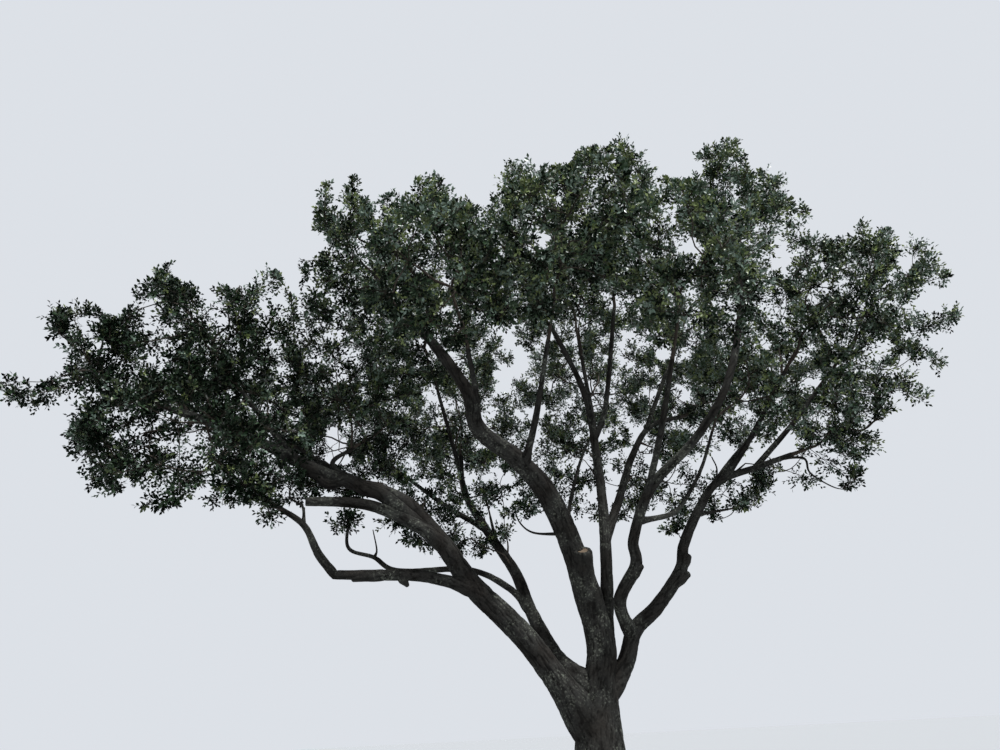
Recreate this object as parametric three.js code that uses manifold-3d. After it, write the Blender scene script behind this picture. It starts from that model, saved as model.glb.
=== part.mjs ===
import * as THREE from 'three';
import { mergeVertices } from 'three/addons/utils/BufferGeometryUtils.js';
import Module from 'manifold-3d';

const wasm = await Module();
wasm.setup();

// Sizes are in millimetres. Places, thicknesses and reaches in the tables below are in metres.
const METRE = 1000;
const GAP = 0.3; // clearance where two pieces meet
const TINY_EDGE = 0.05; // shorter edges left by a cut or a join are merged
const NEAR = 1; // limbs that come this close are cut clear of each other

// Trunk and boughs
const TRUNK_SIDES = 20;
const BOUGH_SIDES = 8;
const THIN_BOUGH_SIDES = 6;
const THIN_BOUGH = 0.2; // metres of thickness below which a bough has fewer sides
const RINGS_PER_SPAN = 2; // rings between two points of a limb's way
const FLARE_HEIGHT = 1.1; // metres over which the root flare dies away
const FLARE_SHARE = 0.34; // how far the flare widens the foot
const FLARE_LOBES = 5; // roots that swell the foot
const LOBE_SHARE = 0.13; // how far the lobes stand out of the flare

// Twigs and leaves. Each leaf stands for a spray, so it is larger than life.
const TWIG_SIDES = 3;
const TWIG_THICKNESS = 0.032;
const STEM_THICKNESS = 0.075;
const THICKENING = 0.35; // power by which a twig thickens with the number of twigs that it bears
const SHARPEST_BEND = 0.3; // cosine of the sharpest bend that one twig makes
const HEART = 0.7; // where a mass's stem forks, as a share of the way from its foot to the mass's middle
const STEM_RUN = 0.35; // share of that way on which the stem keeps its bough's direction
const DETOUR = 0.3; // how much the way already grown counts when a leaf chooses its joint
const TEST_STEP = 0.12; // metres between the points of a twig that must lie in its mass's own space
const LEAF_LENGTH = 0.95;
const SHORTEST_LEAF = 0.8; // as a share of that length
const LENGTH_SPREAD = 0.3;
const LEAF_WIDTH = 0.52;
const LEAF_THICKNESS = 0.04;
const LEAF_ROOT = 0.005; // radius of a leaf's root, which lies inside its twig
const LEAF_WIDEST = 0.45; // where a leaf is widest, as a share of its length
const LEAF_POINT = 0.03; // a leaf's size at its tip, as a share of its widest
const LEAF_TRIES = 5; // directions tried for a leaf before it is left out
const LEAF_SPACING = 0.25; // metres kept between one leaf's points and another's
const LEAVES_PER_METRE = 1.4; // leaves for each cubic metre of a mass's space, between the next two
const FEWEST_LEAVES = 6;
const MOST_LEAVES = 15;
const OUTER_SHELL = 1; // how far out the tips of most leaves lie in a mass's space
const INNER_SHELL = 0.62; // and how far out every third one's
const SHELLS = 3;
const LEAN = 0.9; // how far leaves turn from straight outward
const SPACE_MARGIN = 0.03; // how clearly a point belongs to its own mass, as a share of its reach
const LIMB_MARGIN = 0.04; // metres kept between a twig or leaf and any limb
const GOLDEN_TURN = Math.PI * (3 - Math.sqrt(5));

// Each limb starts inside the limb it grows on, at a share of that one's length, and tapers along its way.
const LIMBS = [
  { name: 'trunk', thick: [1.2, 0.66], way: [[0, 0, 0], [0, 0, 1], [0.03, 0, 1.7], [0.12, 0, 2.35]] },

  { name: 'left_bough', on: 'trunk', at: 0.55, thick: [0.54, 0.13],
    way: [[-0.58, -0.2, 2.35], [-1.32, -0.5, 3.33], [-2.2, -0.9, 4.2], [-2.8, -1.2, 5.05],
      [-3.5, -1.5, 5.72], [-4.8, -1.9, 6.15], [-6.2, -2.6, 6.75], [-7.4, -3.0, 7.15]] },
  { name: 'left_high_bough', on: 'left_bough', at: 0.8, thick: [0.14, 0.08],
    way: [[-5.8, -2.2, 6.95], [-6.3, -2.6, 7.6]] },
  { name: 'left_back_bough', on: 'left_bough', at: 0.66, thick: [0.15, 0.08],
    way: [[-4.9, -1.3, 6.5], [-5.7, -0.9, 7.1]] },
  { name: 'left_inner_bough', on: 'left_bough', at: 0.72, thick: [0.13, 0.07],
    way: [[-4.75, -1.7, 6.45], [-4.4, -1.5, 6.8]] },
  { name: 'sawn_bough', on: 'left_bough', at: 0.47, thick: [0.26, 0.16],
    way: [[-3.0, -1.45, 5.12], [-3.85, -1.8, 5.5], [-4.4, -2.05, 5.55], [-5.05, -2.2, 5.55]] },

  { name: 'lower_left_limb', on: 'left_bough', at: 0.36, thick: [0.24, 0.16],
    way: [[-2.45, -1.1, 4.18], [-3.1, -1.5, 4.28], [-3.8, -1.8, 4.27], [-4.5, -2.1, 4.25]] },
  { name: 'lower_left_limb_end', on: 'lower_left_limb', at: 1, thick: [0.16, 0.09],
    way: [[-4.78, -2.2, 4.6], [-5.05, -2.3, 5.1], [-5.5, -2.6, 5.4]] },

  { name: 'second_left_bough', on: 'trunk', at: 0.93, thick: [0.34, 0.12],
    way: [[-0.62, 0.15, 2.9], [-1.07, 0.7, 3.87], [-1.35, 1.3, 4.8], [-2.0, 2.0, 6.0], [-2.5, 2.7, 7.1],
      [-2.6, 3.2, 8.2]] },
  { name: 'far_left_bough', on: 'second_left_bough', at: 0.66, thick: [0.15, 0.08],
    way: [[-2.9, 2.2, 6.6], [-3.9, 2.2, 7.4]] },
  { name: 'left_top_bough', on: 'second_left_bough', at: 0.8, thick: [0.14, 0.08],
    way: [[-2.6, 2.0, 7.6], [-3.0, 1.2, 9.2]] },
  { name: 'under_left_bough', on: 'second_left_bough', at: 0.6, thick: [0.1, 0.05],
    way: [[-1.85, 1.45, 6.1]] },
  { name: 'crooked_limb', on: 'second_left_bough', at: 0.33, thick: [0.15, 0.05],
    way: [[-1.5, 0.6, 4.35], [-2.3, 0.2, 4.68], [-3.64, -0.4, 4.61], [-4.1, -0.6, 4.85],
      [-4.55, -0.9, 5.0], [-4.5, -1.1, 5.6]] },

  { name: 'centre_bough', on: 'trunk', at: 1, thick: [0.64, 0.12],
    way: [[0.22, 0, 3.0], [0.08, -0.15, 3.8], [-0.2, -0.55, 4.8], [-0.68, -1.2, 5.8], [-1.23, -1.8, 6.3],
      [-1.9, -2.4, 6.7], [-2.1, -2.9, 7.3], [-2.7, -3.1, 8.2], [-3.1, -3.1, 8.7]] },
  { name: 'front_left_bough', on: 'centre_bough', at: 0.68, thick: [0.14, 0.08],
    way: [[-1.9, -3.1, 7.0], [-2.0, -3.9, 7.6]] },
  { name: 'front_bough', on: 'centre_bough', at: 0.53, thick: [0.15, 0.08],
    way: [[-0.85, -2.7, 6.8], [-0.6, -3.7, 7.8]] },

  { name: 'middle_bough', on: 'centre_bough', at: 0.09, thick: [0.3, 0.1],
    way: [[0.42, 0.05, 3.9], [0.54, 0.05, 5.6], [0.53, 0.1, 6.9], [0.35, -0.4, 8.2], [-0.3, -1.0, 9.6]] },
  { name: 'top_bough', on: 'middle_bough', at: 0.66, thick: [0.15, 0.08],
    way: [[0.8, -0.3, 8.0], [1.1, -1.1, 9.9]] },
  { name: 'top_back_bough', on: 'middle_bough', at: 0.58, thick: [0.15, 0.08],
    way: [[0.6, 0.6, 8.0], [0.5, 0.9, 10.2]] },
  { name: 'back_bough', on: 'middle_bough', at: 0.42, thick: [0.17, 0.1],
    way: [[0.7, 1.4, 7.2], [0.9, 2.9, 9.0]] },
  { name: 'right_centre_bough', on: 'middle_bough', at: 0.34, thick: [0.21, 0.1],
    way: [[0.99, 0.5, 6.14], [1.46, 0.9, 7.22], [2.0, 1.2, 8.0], [2.9, 1.9, 8.5]] },
  { name: 'right_top_bough', on: 'right_centre_bough', at: 0.7, thick: [0.12, 0.08],
    way: [[2.4, 1.0, 9.0], [2.8, 0.9, 9.8]] },

  { name: 'right_bough', on: 'trunk', at: 0.86, thick: [0.36, 0.1],
    way: [[0.66, 0.2, 2.75], [0.93, 0.25, 3.36], [1.45, 0.3, 3.8], [2.02, 0.3, 4.5], [2.16, 0.3, 5.0],
      [2.64, 0.3, 5.8], [3.1, 0.25, 6.3], [3.9, 0, 6.5], [4.5, -0.4, 6.6]] },
  { name: 'third_bough', on: 'right_bough', at: 0.2, thick: [0.27, 0.1],
    way: [[0.6, -0.5, 3.82], [0.92, -0.9, 4.4], [0.9, -1.15, 4.85], [1.25, -1.7, 5.66], [2.0, -2.3, 6.3],
      [2.6, -2.8, 7.1], [3.1, -2.8, 8.4], [3.4, -2.6, 9.6]] },
  { name: 'front_right_bough', on: 'third_bough', at: 0.48, thick: [0.14, 0.08],
    way: [[1.35, -2.8, 6.4], [1.5, -3.7, 7.3]] },
  { name: 'crossing_bough', on: 'third_bough', at: 0.42, thick: [0.11, 0.06],
    way: [[1.7, -1.1, 5.3], [2.1, -0.9, 5.7], [2.5, -0.8, 6.3], [2.8, -0.9, 7.0]] },
  { name: 'right_shoulder_bough', on: 'right_bough', at: 0.8, thick: [0.15, 0.08],
    way: [[3.8, -0.4, 7.1], [4.4, -1.3, 8.1]] },
  { name: 'right_tip_bough', on: 'right_bough', at: 0.88, thick: [0.13, 0.08],
    way: [[4.8, -0.2, 7.4], [5.8, -0.5, 8.5]] },
  { name: 'right_back_bough', on: 'right_bough', at: 0.73, thick: [0.14, 0.08],
    way: [[3.9, 0.9, 7.2], [4.9, 1.5, 8.1]] },
  { name: 'under_right_bough', on: 'right_bough', at: 0.64, thick: [0.09, 0.05],
    way: [[3.25, 0.5, 5.75]] },
];

// Each mass of leaves fills an ellipsoid round its centre and hangs on the tip of one bough. Its own seed
// decides its twigs and leaves.
const MASSES = [
  { name: 'leaves_left_tip', on: 'left_bough', seed: 8,
    centre: [-8.85, -3.4, 7.55], reach: [1.6, 1.2, 1.05] },
  { name: 'leaves_left_high', on: 'left_high_bough', seed: 13,
    centre: [-7.1, -3.0, 8.95], reach: [1.85, 1.4, 1.3] },
  { name: 'leaves_left_low', on: 'lower_left_limb_end', seed: 10,
    centre: [-6.6, -3.6, 6.2], reach: [1.9, 1.5, 1.05] },
  { name: 'leaves_left_back', on: 'left_back_bough', seed: 17,
    centre: [-6.8, -0.6, 8.2], reach: [1.7, 1.6, 1.4] },
  { name: 'leaves_left_inner', on: 'left_inner_bough', seed: 37,
    centre: [-4.6, -1.4, 7.9], reach: [1.4, 1.4, 1.3] },
  { name: 'leaves_left_shoulder', on: 'centre_bough', seed: 7,
    centre: [-3.95, -3.0, 9.9], reach: [1.5, 1.6, 1.45] },
  { name: 'leaves_left_top', on: 'left_top_bough', seed: 14,
    centre: [-3.4, 0.6, 10.6], reach: [1.9, 1.8, 1.4] },
  { name: 'leaves_far_left', on: 'far_left_bough', seed: 39,
    centre: [-5.2, 2.0, 8.5], reach: [1.8, 1.8, 1.4] },
  { name: 'leaves_back_left', on: 'second_left_bough', seed: 38,
    centre: [-2.6, 3.8, 9.6], reach: [2.1, 1.9, 1.5] },
  { name: 'leaves_under_left', on: 'under_left_bough', seed: 18,
    centre: [-2.0, 1.4, 6.8], reach: [1.3, 1.1, 0.75] },
  { name: 'leaves_front_left', on: 'front_left_bough', seed: 14,
    centre: [-2.3, -4.8, 8.8], reach: [1.5, 1.5, 1.45] },
  { name: 'leaves_front', on: 'front_bough', seed: 6, centre: [-0.3, -5.1, 8.9], reach: [1.5, 1.5, 1.3] },
  { name: 'leaves_front_right', on: 'front_right_bough', seed: 1,
    centre: [1.6, -4.8, 8.4], reach: [1.5, 1.5, 1.4] },
  { name: 'leaves_top_left', on: 'middle_bough', seed: 10,
    centre: [-1.4, -2.0, 11.1], reach: [1.8, 1.8, 1.55] },
  { name: 'leaves_top', on: 'top_bough', seed: 39, centre: [1.3, -2.3, 11.85], reach: [1.7, 1.7, 1.6] },
  { name: 'leaves_top_back', on: 'top_back_bough', seed: 34,
    centre: [0.4, 1.2, 11.8], reach: [2.0, 1.8, 1.5] },
  { name: 'leaves_back', on: 'back_bough', seed: 15, centre: [1.2, 4.4, 10.6], reach: [2.1, 1.9, 1.6] },
  { name: 'leaves_top_right', on: 'third_bough', seed: 21,
    centre: [3.55, -2.5, 11.15], reach: [1.6, 1.6, 1.5] },
  { name: 'leaves_right_top', on: 'right_top_bough', seed: 2,
    centre: [3.4, 0.8, 11.1], reach: [1.8, 1.7, 1.4] },
  { name: 'leaves_back_right', on: 'right_centre_bough', seed: 3,
    centre: [4.3, 3.2, 9.5], reach: [2.0, 1.9, 1.5] },
  { name: 'leaves_right_shoulder', on: 'right_shoulder_bough', seed: 7,
    centre: [5.3, -2.0, 9.4], reach: [1.6, 1.6, 1.45] },
  { name: 'leaves_right_tip', on: 'right_tip_bough', seed: 3,
    centre: [6.8, -0.9, 9.85], reach: [1.7, 1.5, 1.5] },
  { name: 'leaves_right_back', on: 'right_back_bough', seed: 12,
    centre: [6.1, 1.9, 9.0], reach: [1.6, 1.6, 1.3] },
  { name: 'leaves_right_low', on: 'right_bough', seed: 16, centre: [5.8, -0.8, 7.2], reach: [1.6, 1.5, 1.1] },
  { name: 'leaves_right_inner', on: 'crossing_bough', seed: 16,
    centre: [3.7, -1.0, 7.9], reach: [1.4, 1.5, 1.1] },
  { name: 'leaves_under_right', on: 'under_right_bough', seed: 5,
    centre: [3.95, 0.8, 5.95], reach: [1.0, 0.9, 0.6] },
];

const limbNamed = (name) => LIMBS.find((limb) => limb.name === name);
const vector = (place) => new THREE.Vector3(...place);

// Materials
function coloured(name, color, roughness) {
  return new THREE.MeshStandardMaterial({ name, color, roughness, metalness: 0, flatShading: true });
}
const bark = coloured('bark', 0x5b5148, 0.95);
const foliage = coloured('foliage', 0x3c4a24, 0.7);

// A seeded generator of even random numbers from 0 to 1
function seeded(seed) {
  let state = seed >>> 0;
  return () => {
    state = (state + 0x6d2b79f5) >>> 0;
    let mixed = Math.imul(state ^ (state >>> 15), state | 1);
    mixed ^= mixed + Math.imul(mixed ^ (mixed >>> 7), mixed | 61);
    return ((mixed ^ (mixed >>> 14)) >>> 0) / 2 ** 32;
  };
}

// The smooth line down the middle of a limb, from inside the one it grows on
function axisOf(limb) {
  if (!limb.axis) {
    const points = limb.way.map(vector);
    if (limb.on) points.unshift(axisOf(limbNamed(limb.on)).getPoint(limb.at));
    limb.axis = new THREE.CatmullRomCurve3(points, false, 'catmullrom', 0.5);
  }
  return limb.axis;
}

// The limb's radius at a share of its way
function radiusAt(limb, share) {
  return THREE.MathUtils.lerp(limb.thick[0], limb.thick[1], share) / 2;
}

// The root flare's widening at a height above the ground and a turn round the trunk
function flareAt(limb, height, turn) {
  if (limb.name !== 'trunk' || height > FLARE_HEIGHT) return 1;
  const fade = (1 - height / FLARE_HEIGHT) ** 2;
  return 1 + fade * (FLARE_SHARE + LOBE_SHARE * Math.cos(FLARE_LOBES * turn));
}

// A ring across a line: its middle, its direction and two directions across it, turned no more than needed
function ringAt(middle, along, before, radius) {
  const start = before ?? new THREE.Vector3(1, 0, 0);
  const across = start.clone().addScaledVector(along, -start.dot(along)).normalize();
  const beside = new THREE.Vector3().crossVectors(along, across);
  return { middle, along, across, beside, radius };
}

// Rings down a limb. The trunk's first lies flat on the ground, and a limb that goes on from another's tip
// keeps that tip's direction.
function ringsOf(limb) {
  if (limb.rings) return limb.rings;
  const axis = axisOf(limb);
  const steps = (axis.points.length - 1) * RINGS_PER_SPAN;
  const ground = { along: new THREE.Vector3(0, 0, 1) };
  const carried = limb.on ? (limb.at === 1 ? ringsOf(limbNamed(limb.on)).at(-1) : null) : ground;
  limb.rings = [];
  for (let i = 0; i <= steps; i++) {
    const share = i / steps;
    const along = i === 0 && carried ? carried.along : axis.getTangent(share);
    const before = i === 0 ? carried?.across : limb.rings[i - 1].across;
    limb.rings.push(ringAt(axis.getPoint(share), along, before, radiusAt(limb, share)));
  }
  return limb.rings;
}

// A closed surface through rings of corners, each ring with the same number of sides
function loft(rings, sides) {
  const faces = [];
  for (let i = 0; i < rings.length - 1; i++) {
    for (let side = 0; side < sides; side++) {
      const here = i * sides + side;
      const next = i * sides + ((side + 1) % sides);
      faces.push(here, next, next + sides, here, next + sides, here + sides);
    }
  }
  const last = (rings.length - 1) * sides;
  for (let side = 1; side < sides - 1; side++) {
    faces.push(0, side + 1, side, last, last + side, last + side + 1);
  }
  const geometry = new THREE.BufferGeometry().setFromPoints(rings.flat());
  geometry.setIndex(faces);
  return geometry;
}

// The corners of a ring in millimetres, moved along its direction, with its radius given by the turn round it
function cornersOf(ring, sides, moved, radiusAtTurn) {
  const middle = ring.middle.clone().multiplyScalar(METRE).addScaledVector(ring.along, moved);
  return Array.from({ length: sides }, (_, side) => {
    const turn = (2 * Math.PI * side) / sides;
    const radius = radiusAtTurn(turn);
    return middle.clone().addScaledVector(ring.across, radius * Math.cos(turn))
      .addScaledVector(ring.beside, radius * Math.sin(turn));
  });
}

function sidesOf(limb) {
  if (limb.name === 'trunk') return TRUNK_SIDES;
  return limb.thick[0] < THIN_BOUGH ? THIN_BOUGH_SIDES : BOUGH_SIDES;
}

// A limb's closed surface, grown all round by a small clearance
function limbGeometry(limb, grown) {
  const sides = sidesOf(limb);
  const rings = ringsOf(limb);
  const startShift = (limb.at === 1 ? GAP : 0) - grown;
  return loft(rings.map((ring, i) => {
    const moved = i === 0 ? startShift : (i === rings.length - 1 ? grown : 0);
    const radius = (turn) => ring.radius * METRE * flareAt(limb, ring.middle.z, turn) + grown;
    return cornersOf(ring, sides, moved, radius);
  }), sides);
}

function toSolid(geometry) {
  geometry.deleteAttribute('normal');
  geometry.deleteAttribute('uv');
  const merged = mergeVertices(geometry);
  return new wasm.Manifold(new wasm.Mesh({
    numProp: 3,
    vertProperties: new Float32Array(merged.attributes.position.array),
    triVerts: new Uint32Array(merged.index.array),
  }));
}

// The largest single body of a solid, with the tiny edges of its cuts merged
function mainBody(solid) {
  const bodies = solid.simplify(TINY_EDGE).decompose();
  return bodies.reduce((best, body) => (body.volume() > best.volume() ? body : best));
}

// A named mesh of a solid, placed by its own origin, which is given in metres
function pieceOf(name, solid, origin, material) {
  const mesh = solid.getMesh();
  const geometry = new THREE.BufferGeometry();
  const stride = mesh.numProp;
  const corners = [];
  for (let i = 0; i < mesh.vertProperties.length; i += stride) {
    corners.push(new THREE.Vector3(...mesh.vertProperties.slice(i, i + 3)));
  }
  geometry.setFromPoints(corners);
  geometry.setIndex(Array.from(mesh.triVerts));
  geometry.computeVertexNormals();
  const piece = new THREE.Mesh(geometry, material);
  piece.name = name;
  piece.position.copy(origin).multiplyScalar(METRE);
  return piece;
}

// A limb as a solid round its own origin, cut clear of every earlier limb that it touches
function limbPiece(limb, earlier) {
  const origin = ringsOf(limb)[0].middle;
  let solid = toSolid(limbGeometry(limb, 0));
  for (const other of earlier) {
    if (other.name === limb.on && limb.at === 1) continue;
    if (other.clearance.minGap(solid, NEAR) < NEAR) solid = solid.subtract(other.clearance);
  }
  const home = origin.clone().multiplyScalar(-METRE);
  return pieceOf(limb.name, mainBody(solid).translate(home.toArray()), origin, bark);
}

// How far out of a mass's middle a point lies: 1 is the edge of its space
function depthIn(mass, point) {
  const offset = point.clone().sub(vector(mass.centre));
  return offset.divide(vector(mass.reach)).length();
}

// True where a point lies in this mass's own space and nearer to its middle than to any other's
function owns(mass, point) {
  const own = depthIn(mass, point);
  const rivals = MASSES.filter((other) => other !== mass);
  return own <= 1 && rivals.every((other) => depthIn(other, point) > own + SPACE_MARGIN);
}

// True where a ball lies clear of every limb
function clearOfLimbs(point, radius) {
  const nearest = new THREE.Vector3();
  return LIMBS.every((limb) => ringsOf(limb).every((ring, i, rings) => {
    if (i === 0) return true;
    const span = new THREE.Line3(rings[i - 1].middle, ring.middle);
    span.closestPointToPoint(point, true, nearest);
    return nearest.distanceTo(point) > rings[i - 1].radius + radius + LIMB_MARGIN;
  }));
}

// Points along a straight line, both ends included
function pointsBetween(start, end, count) {
  return Array.from({ length: count }, (_, i) => start.clone().lerp(end, i / (count - 1)));
}

function twigFits(mass, start, end) {
  const steps = Math.ceil(start.distanceTo(end) / TEST_STEP);
  return pointsBetween(start, end, steps + 1)
    .every((point) => owns(mass, point) && clearOfLimbs(point, TWIG_THICKNESS));
}

const leafFits = (mass, leaf) => leafPoints(leaf)
  .every((point) => owns(mass, point) && clearOfLimbs(point, LEAF_THICKNESS));

// A leaf's root, tip, middle and the two edges at its widest
function leafOutline(leaf) {
  const tip = leaf.root.clone().addScaledVector(leaf.along, leaf.length);
  const middle = leaf.root.clone().lerp(tip, LEAF_WIDEST);
  const half = LEAF_WIDTH / 2;
  return [leaf.root, tip, middle, middle.clone().addScaledVector(leaf.across, half),
    middle.clone().addScaledVector(leaf.across, -half)];
}

// Points spread over a leaf's two halves and its midrib
function leafPoints(leaf) {
  const [root, tip, middle, ...edges] = leafOutline(leaf);
  const halves = edges.flatMap((edge) => [...pointsBetween(root, edge, 3), ...pointsBetween(edge, tip, 3),
    edge.clone().lerp(middle, 0.5)]);
  return [...halves, ...pointsBetween(root, tip, 5)];
}

// Leaves spread evenly over a mass's space by the golden turn, each leaning its own way and clear of the rest
function leavesOf(mass, random) {
  const volume = (4 / 3) * Math.PI * mass.reach[0] * mass.reach[1] * mass.reach[2];
  const count = THREE.MathUtils.clamp(Math.round(volume * LEAVES_PER_METRE), FEWEST_LEAVES, MOST_LEAVES);
  const leaves = [];
  for (let k = 0; k < count; k++) {
    const height = 1 - (2 * (k + 0.5)) / count;
    const shell = k % SHELLS === SHELLS - 1 ? INNER_SHELL : OUTER_SHELL;
    for (let tries = 0; tries < LEAF_TRIES; tries++) {
      const leaf = leafToward(mass, height, k * GOLDEN_TURN + random(), shell, random);
      if (!leafFits(mass, leaf) || !leaves.every((other) => apart(leaf, other))) continue;
      leaves.push(leaf);
      break;
    }
  }
  return leaves;
}

// A leaf whose tip lies in a direction from its mass's middle, on a shell of its space
function leafToward(mass, height, turn, shell, random) {
  const girth = Math.sqrt(1 - height * height);
  const outward = new THREE.Vector3(girth * Math.cos(turn), girth * Math.sin(turn), height);
  const tip = outward.clone().multiply(vector(mass.reach)).multiplyScalar(shell).add(vector(mass.centre));
  const stray = new THREE.Vector3(random() - 0.5, random() - 0.5, random() - 0.5).multiplyScalar(2 * LEAN);
  const along = outward.add(stray).normalize();
  const length = Math.min(1, ...mass.reach) * LEAF_LENGTH * (SHORTEST_LEAF + LENGTH_SPREAD * random());
  const upward = new THREE.Vector3(random() - 0.5, random() - 0.5, 1);
  const across = new THREE.Vector3().crossVectors(along, upward).normalize();
  return { root: tip.addScaledVector(along, -length), along, across, length };
}

const apart = (leaf, other) => leafOutline(leaf)
  .every((point) => leafOutline(other).every((rival) => point.distanceTo(rival) > LEAF_SPACING));

// The joints of one mass's twigs: each leaf's root is joined to the nearest joint so far, where a twig fits
function growMass(mass) {
  const random = seeded(mass.seed);
  const start = ringsOf(limbNamed(mass.on)).at(-1);
  const base = start.middle.clone().addScaledVector(start.along, GAP / METRE);
  const heart = base.clone().lerp(vector(mass.centre), HEART);
  const bend = base.clone().addScaledVector(start.along, STEM_RUN * base.distanceTo(heart));
  const joints = [{ point: base, travelled: 0 }, { point: bend, from: 0, travelled: 0 },
    { point: heart, from: 1, travelled: 0 }];
  const leaves = leavesOf(mass, random);
  leaves.sort((a, b) => a.root.distanceTo(heart) - b.root.distanceTo(heart));
  for (const leaf of leaves) {
    const far = (k) => joints[k].point.distanceTo(leaf.root);
    const cost = (k) => far(k) + DETOUR * joints[k].travelled;
    const reachable = joints.map((joint, k) => k)
      .filter((k) => k > 0 && twigFits(mass, joints[k].point, leaf.root));
    if (reachable.length === 0) continue;
    const from = reachable.reduce((best, k) => (cost(k) < cost(best) ? k : best));
    joints.push({ point: leaf.root, from, travelled: joints[from].travelled + far(from), leaf });
  }
  return joints;
}

// How many twigs hang on each joint, itself included
function loadsOf(joints) {
  const loads = joints.map(() => 1);
  for (let i = joints.length - 1; i > 0; i--) loads[joints[i].from] += loads[i];
  return loads;
}

const twigRadius = (load) => Math.min(STEM_THICKNESS, TWIG_THICKNESS * load ** THICKENING) / 2;

// Splits the joints into lines, each one twig: at a fork the heavier side goes on and the other starts anew
function linesOf(joints, loads) {
  const lines = [[0]];
  const lineEnding = new Map([[0, lines[0]]]);
  joints.forEach((joint, i) => {
    if (i === 0) return;
    const rivals = joints.map((other, k) => k).filter((k) => k > 0 && joints[k].from === joint.from);
    const heaviest = rivals.reduce((best, k) => (loads[k] > loads[best] ? k : best));
    const line = lineEnding.get(joint.from);
    if (i === heaviest && line && !bendsTooFar(joints, line, i)) {
      line.push(i);
      lineEnding.delete(joint.from);
      lineEnding.set(i, line);
    } else {
      lines.push([joint.from, i]);
      lineEnding.set(i, lines.at(-1));
    }
  });
  return lines;
}

// True where a line that may end at its last joint, in that one's leaf, would bend too sharply to go on
function bendsTooFar(joints, line, next) {
  if (!joints[line.at(-1)].leaf) return false;
  const [before, end] = line.slice(-2).map((k) => joints[k].point);
  const arriving = end.clone().sub(before).normalize();
  const leaving = joints[next].point.clone().sub(end).normalize();
  return arriving.dot(leaving) < SHARPEST_BEND;
}

// A three-sided twig through a line of joints, thin enough at its start to lie inside the twig it grows on.
// It ends in the leaf of its last joint.
function twigSolid(joints, line, loads) {
  const points = line.map((k) => joints[k].point);
  const radii = line.map((k) => twigRadius(loads[k]));
  if (line[0] > 0) radii[0] = Math.min(radii[1], twigRadius(loads[line[0]]) / 2);
  const { leaf } = joints[line.at(-1)];
  let facing = facingOf(leaf);
  const rings = bladeRings(leaf);
  for (let i = points.length - 1; i >= 0; i--) {
    const before = points[Math.max(i - 1, 0)];
    const after = points[Math.min(i + 1, points.length - 1)];
    const ring = ringAt(points[i], after.clone().sub(before).normalize(), facing, radii[i]);
    rings.unshift(cornersOf(ring, TWIG_SIDES, 0, () => ring.radius * METRE));
    facing = ring.across;
  }
  return toSolid(loft(rings, TWIG_SIDES));
}

const facingOf = (leaf) => new THREE.Vector3().crossVectors(leaf.along, leaf.across);

// The keel and the two edges of a leaf at its widest, and again close round its tip
function bladeRings(leaf) {
  const facing = facingOf(leaf);
  const beside = new THREE.Vector3().crossVectors(leaf.along, facing);
  return [[LEAF_WIDEST, 1], [1, LEAF_POINT]].map(([share, size]) => {
    const middle = leaf.root.clone().addScaledVector(leaf.along, leaf.length * share);
    const half = (LEAF_WIDTH / 2) * size;
    return [middle.clone().addScaledVector(facing, LEAF_THICKNESS * size),
      middle.clone().addScaledVector(beside, half), middle.clone().addScaledVector(beside, -half)]
      .map((corner) => corner.multiplyScalar(METRE));
  });
}

// A leaf on the side of a twig, a keeled blade whose narrow root lies inside it
function sideLeafSolid(leaf) {
  const ring = ringAt(leaf.root, leaf.along, facingOf(leaf), LEAF_ROOT);
  const root = cornersOf(ring, TWIG_SIDES, 0, () => ring.radius * METRE);
  return toSolid(loft([root, ...bladeRings(leaf)], TWIG_SIDES));
}

// One mass of twigs and leaves as a single solid round its own centre
function massPiece(mass) {
  const joints = growMass(mass);
  const centre = vector(mass.centre);
  for (const joint of joints) {
    joint.point = joint.point.clone().sub(centre);
    if (joint.leaf) joint.leaf.root = joint.point;
  }
  const loads = loadsOf(joints);
  const lines = linesOf(joints, loads);
  const ends = new Set(lines.map((line) => line.at(-1)));
  const twigs = lines.map((line) => twigSolid(joints, line, loads));
  const sideLeaves = joints.filter((joint, k) => joint.leaf && !ends.has(k));
  const solids = [...twigs, ...sideLeaves.map((joint) => sideLeafSolid(joint.leaf))];
  const whole = solids.reduce((sum, solid) => sum.add(solid));
  return pieceOf(mass.name, mainBody(whole), centre, foliage);
}

// The tree: trunk and boughs, then its masses of leaves
const wood = new THREE.Group();
const earlier = [];
for (const limb of LIMBS) {
  wood.add(limbPiece(limb, earlier));
  earlier.push({ name: limb.name, clearance: toSolid(limbGeometry(limb, GAP)) });
}
const crown = new THREE.Group();
for (const mass of MASSES) crown.add(massPiece(mass));

const tree = new THREE.Group();
tree.add(wood, crown);

export default tree;
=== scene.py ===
import math

import bpy
import numpy as np
from mathutils import Matrix, Vector


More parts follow.
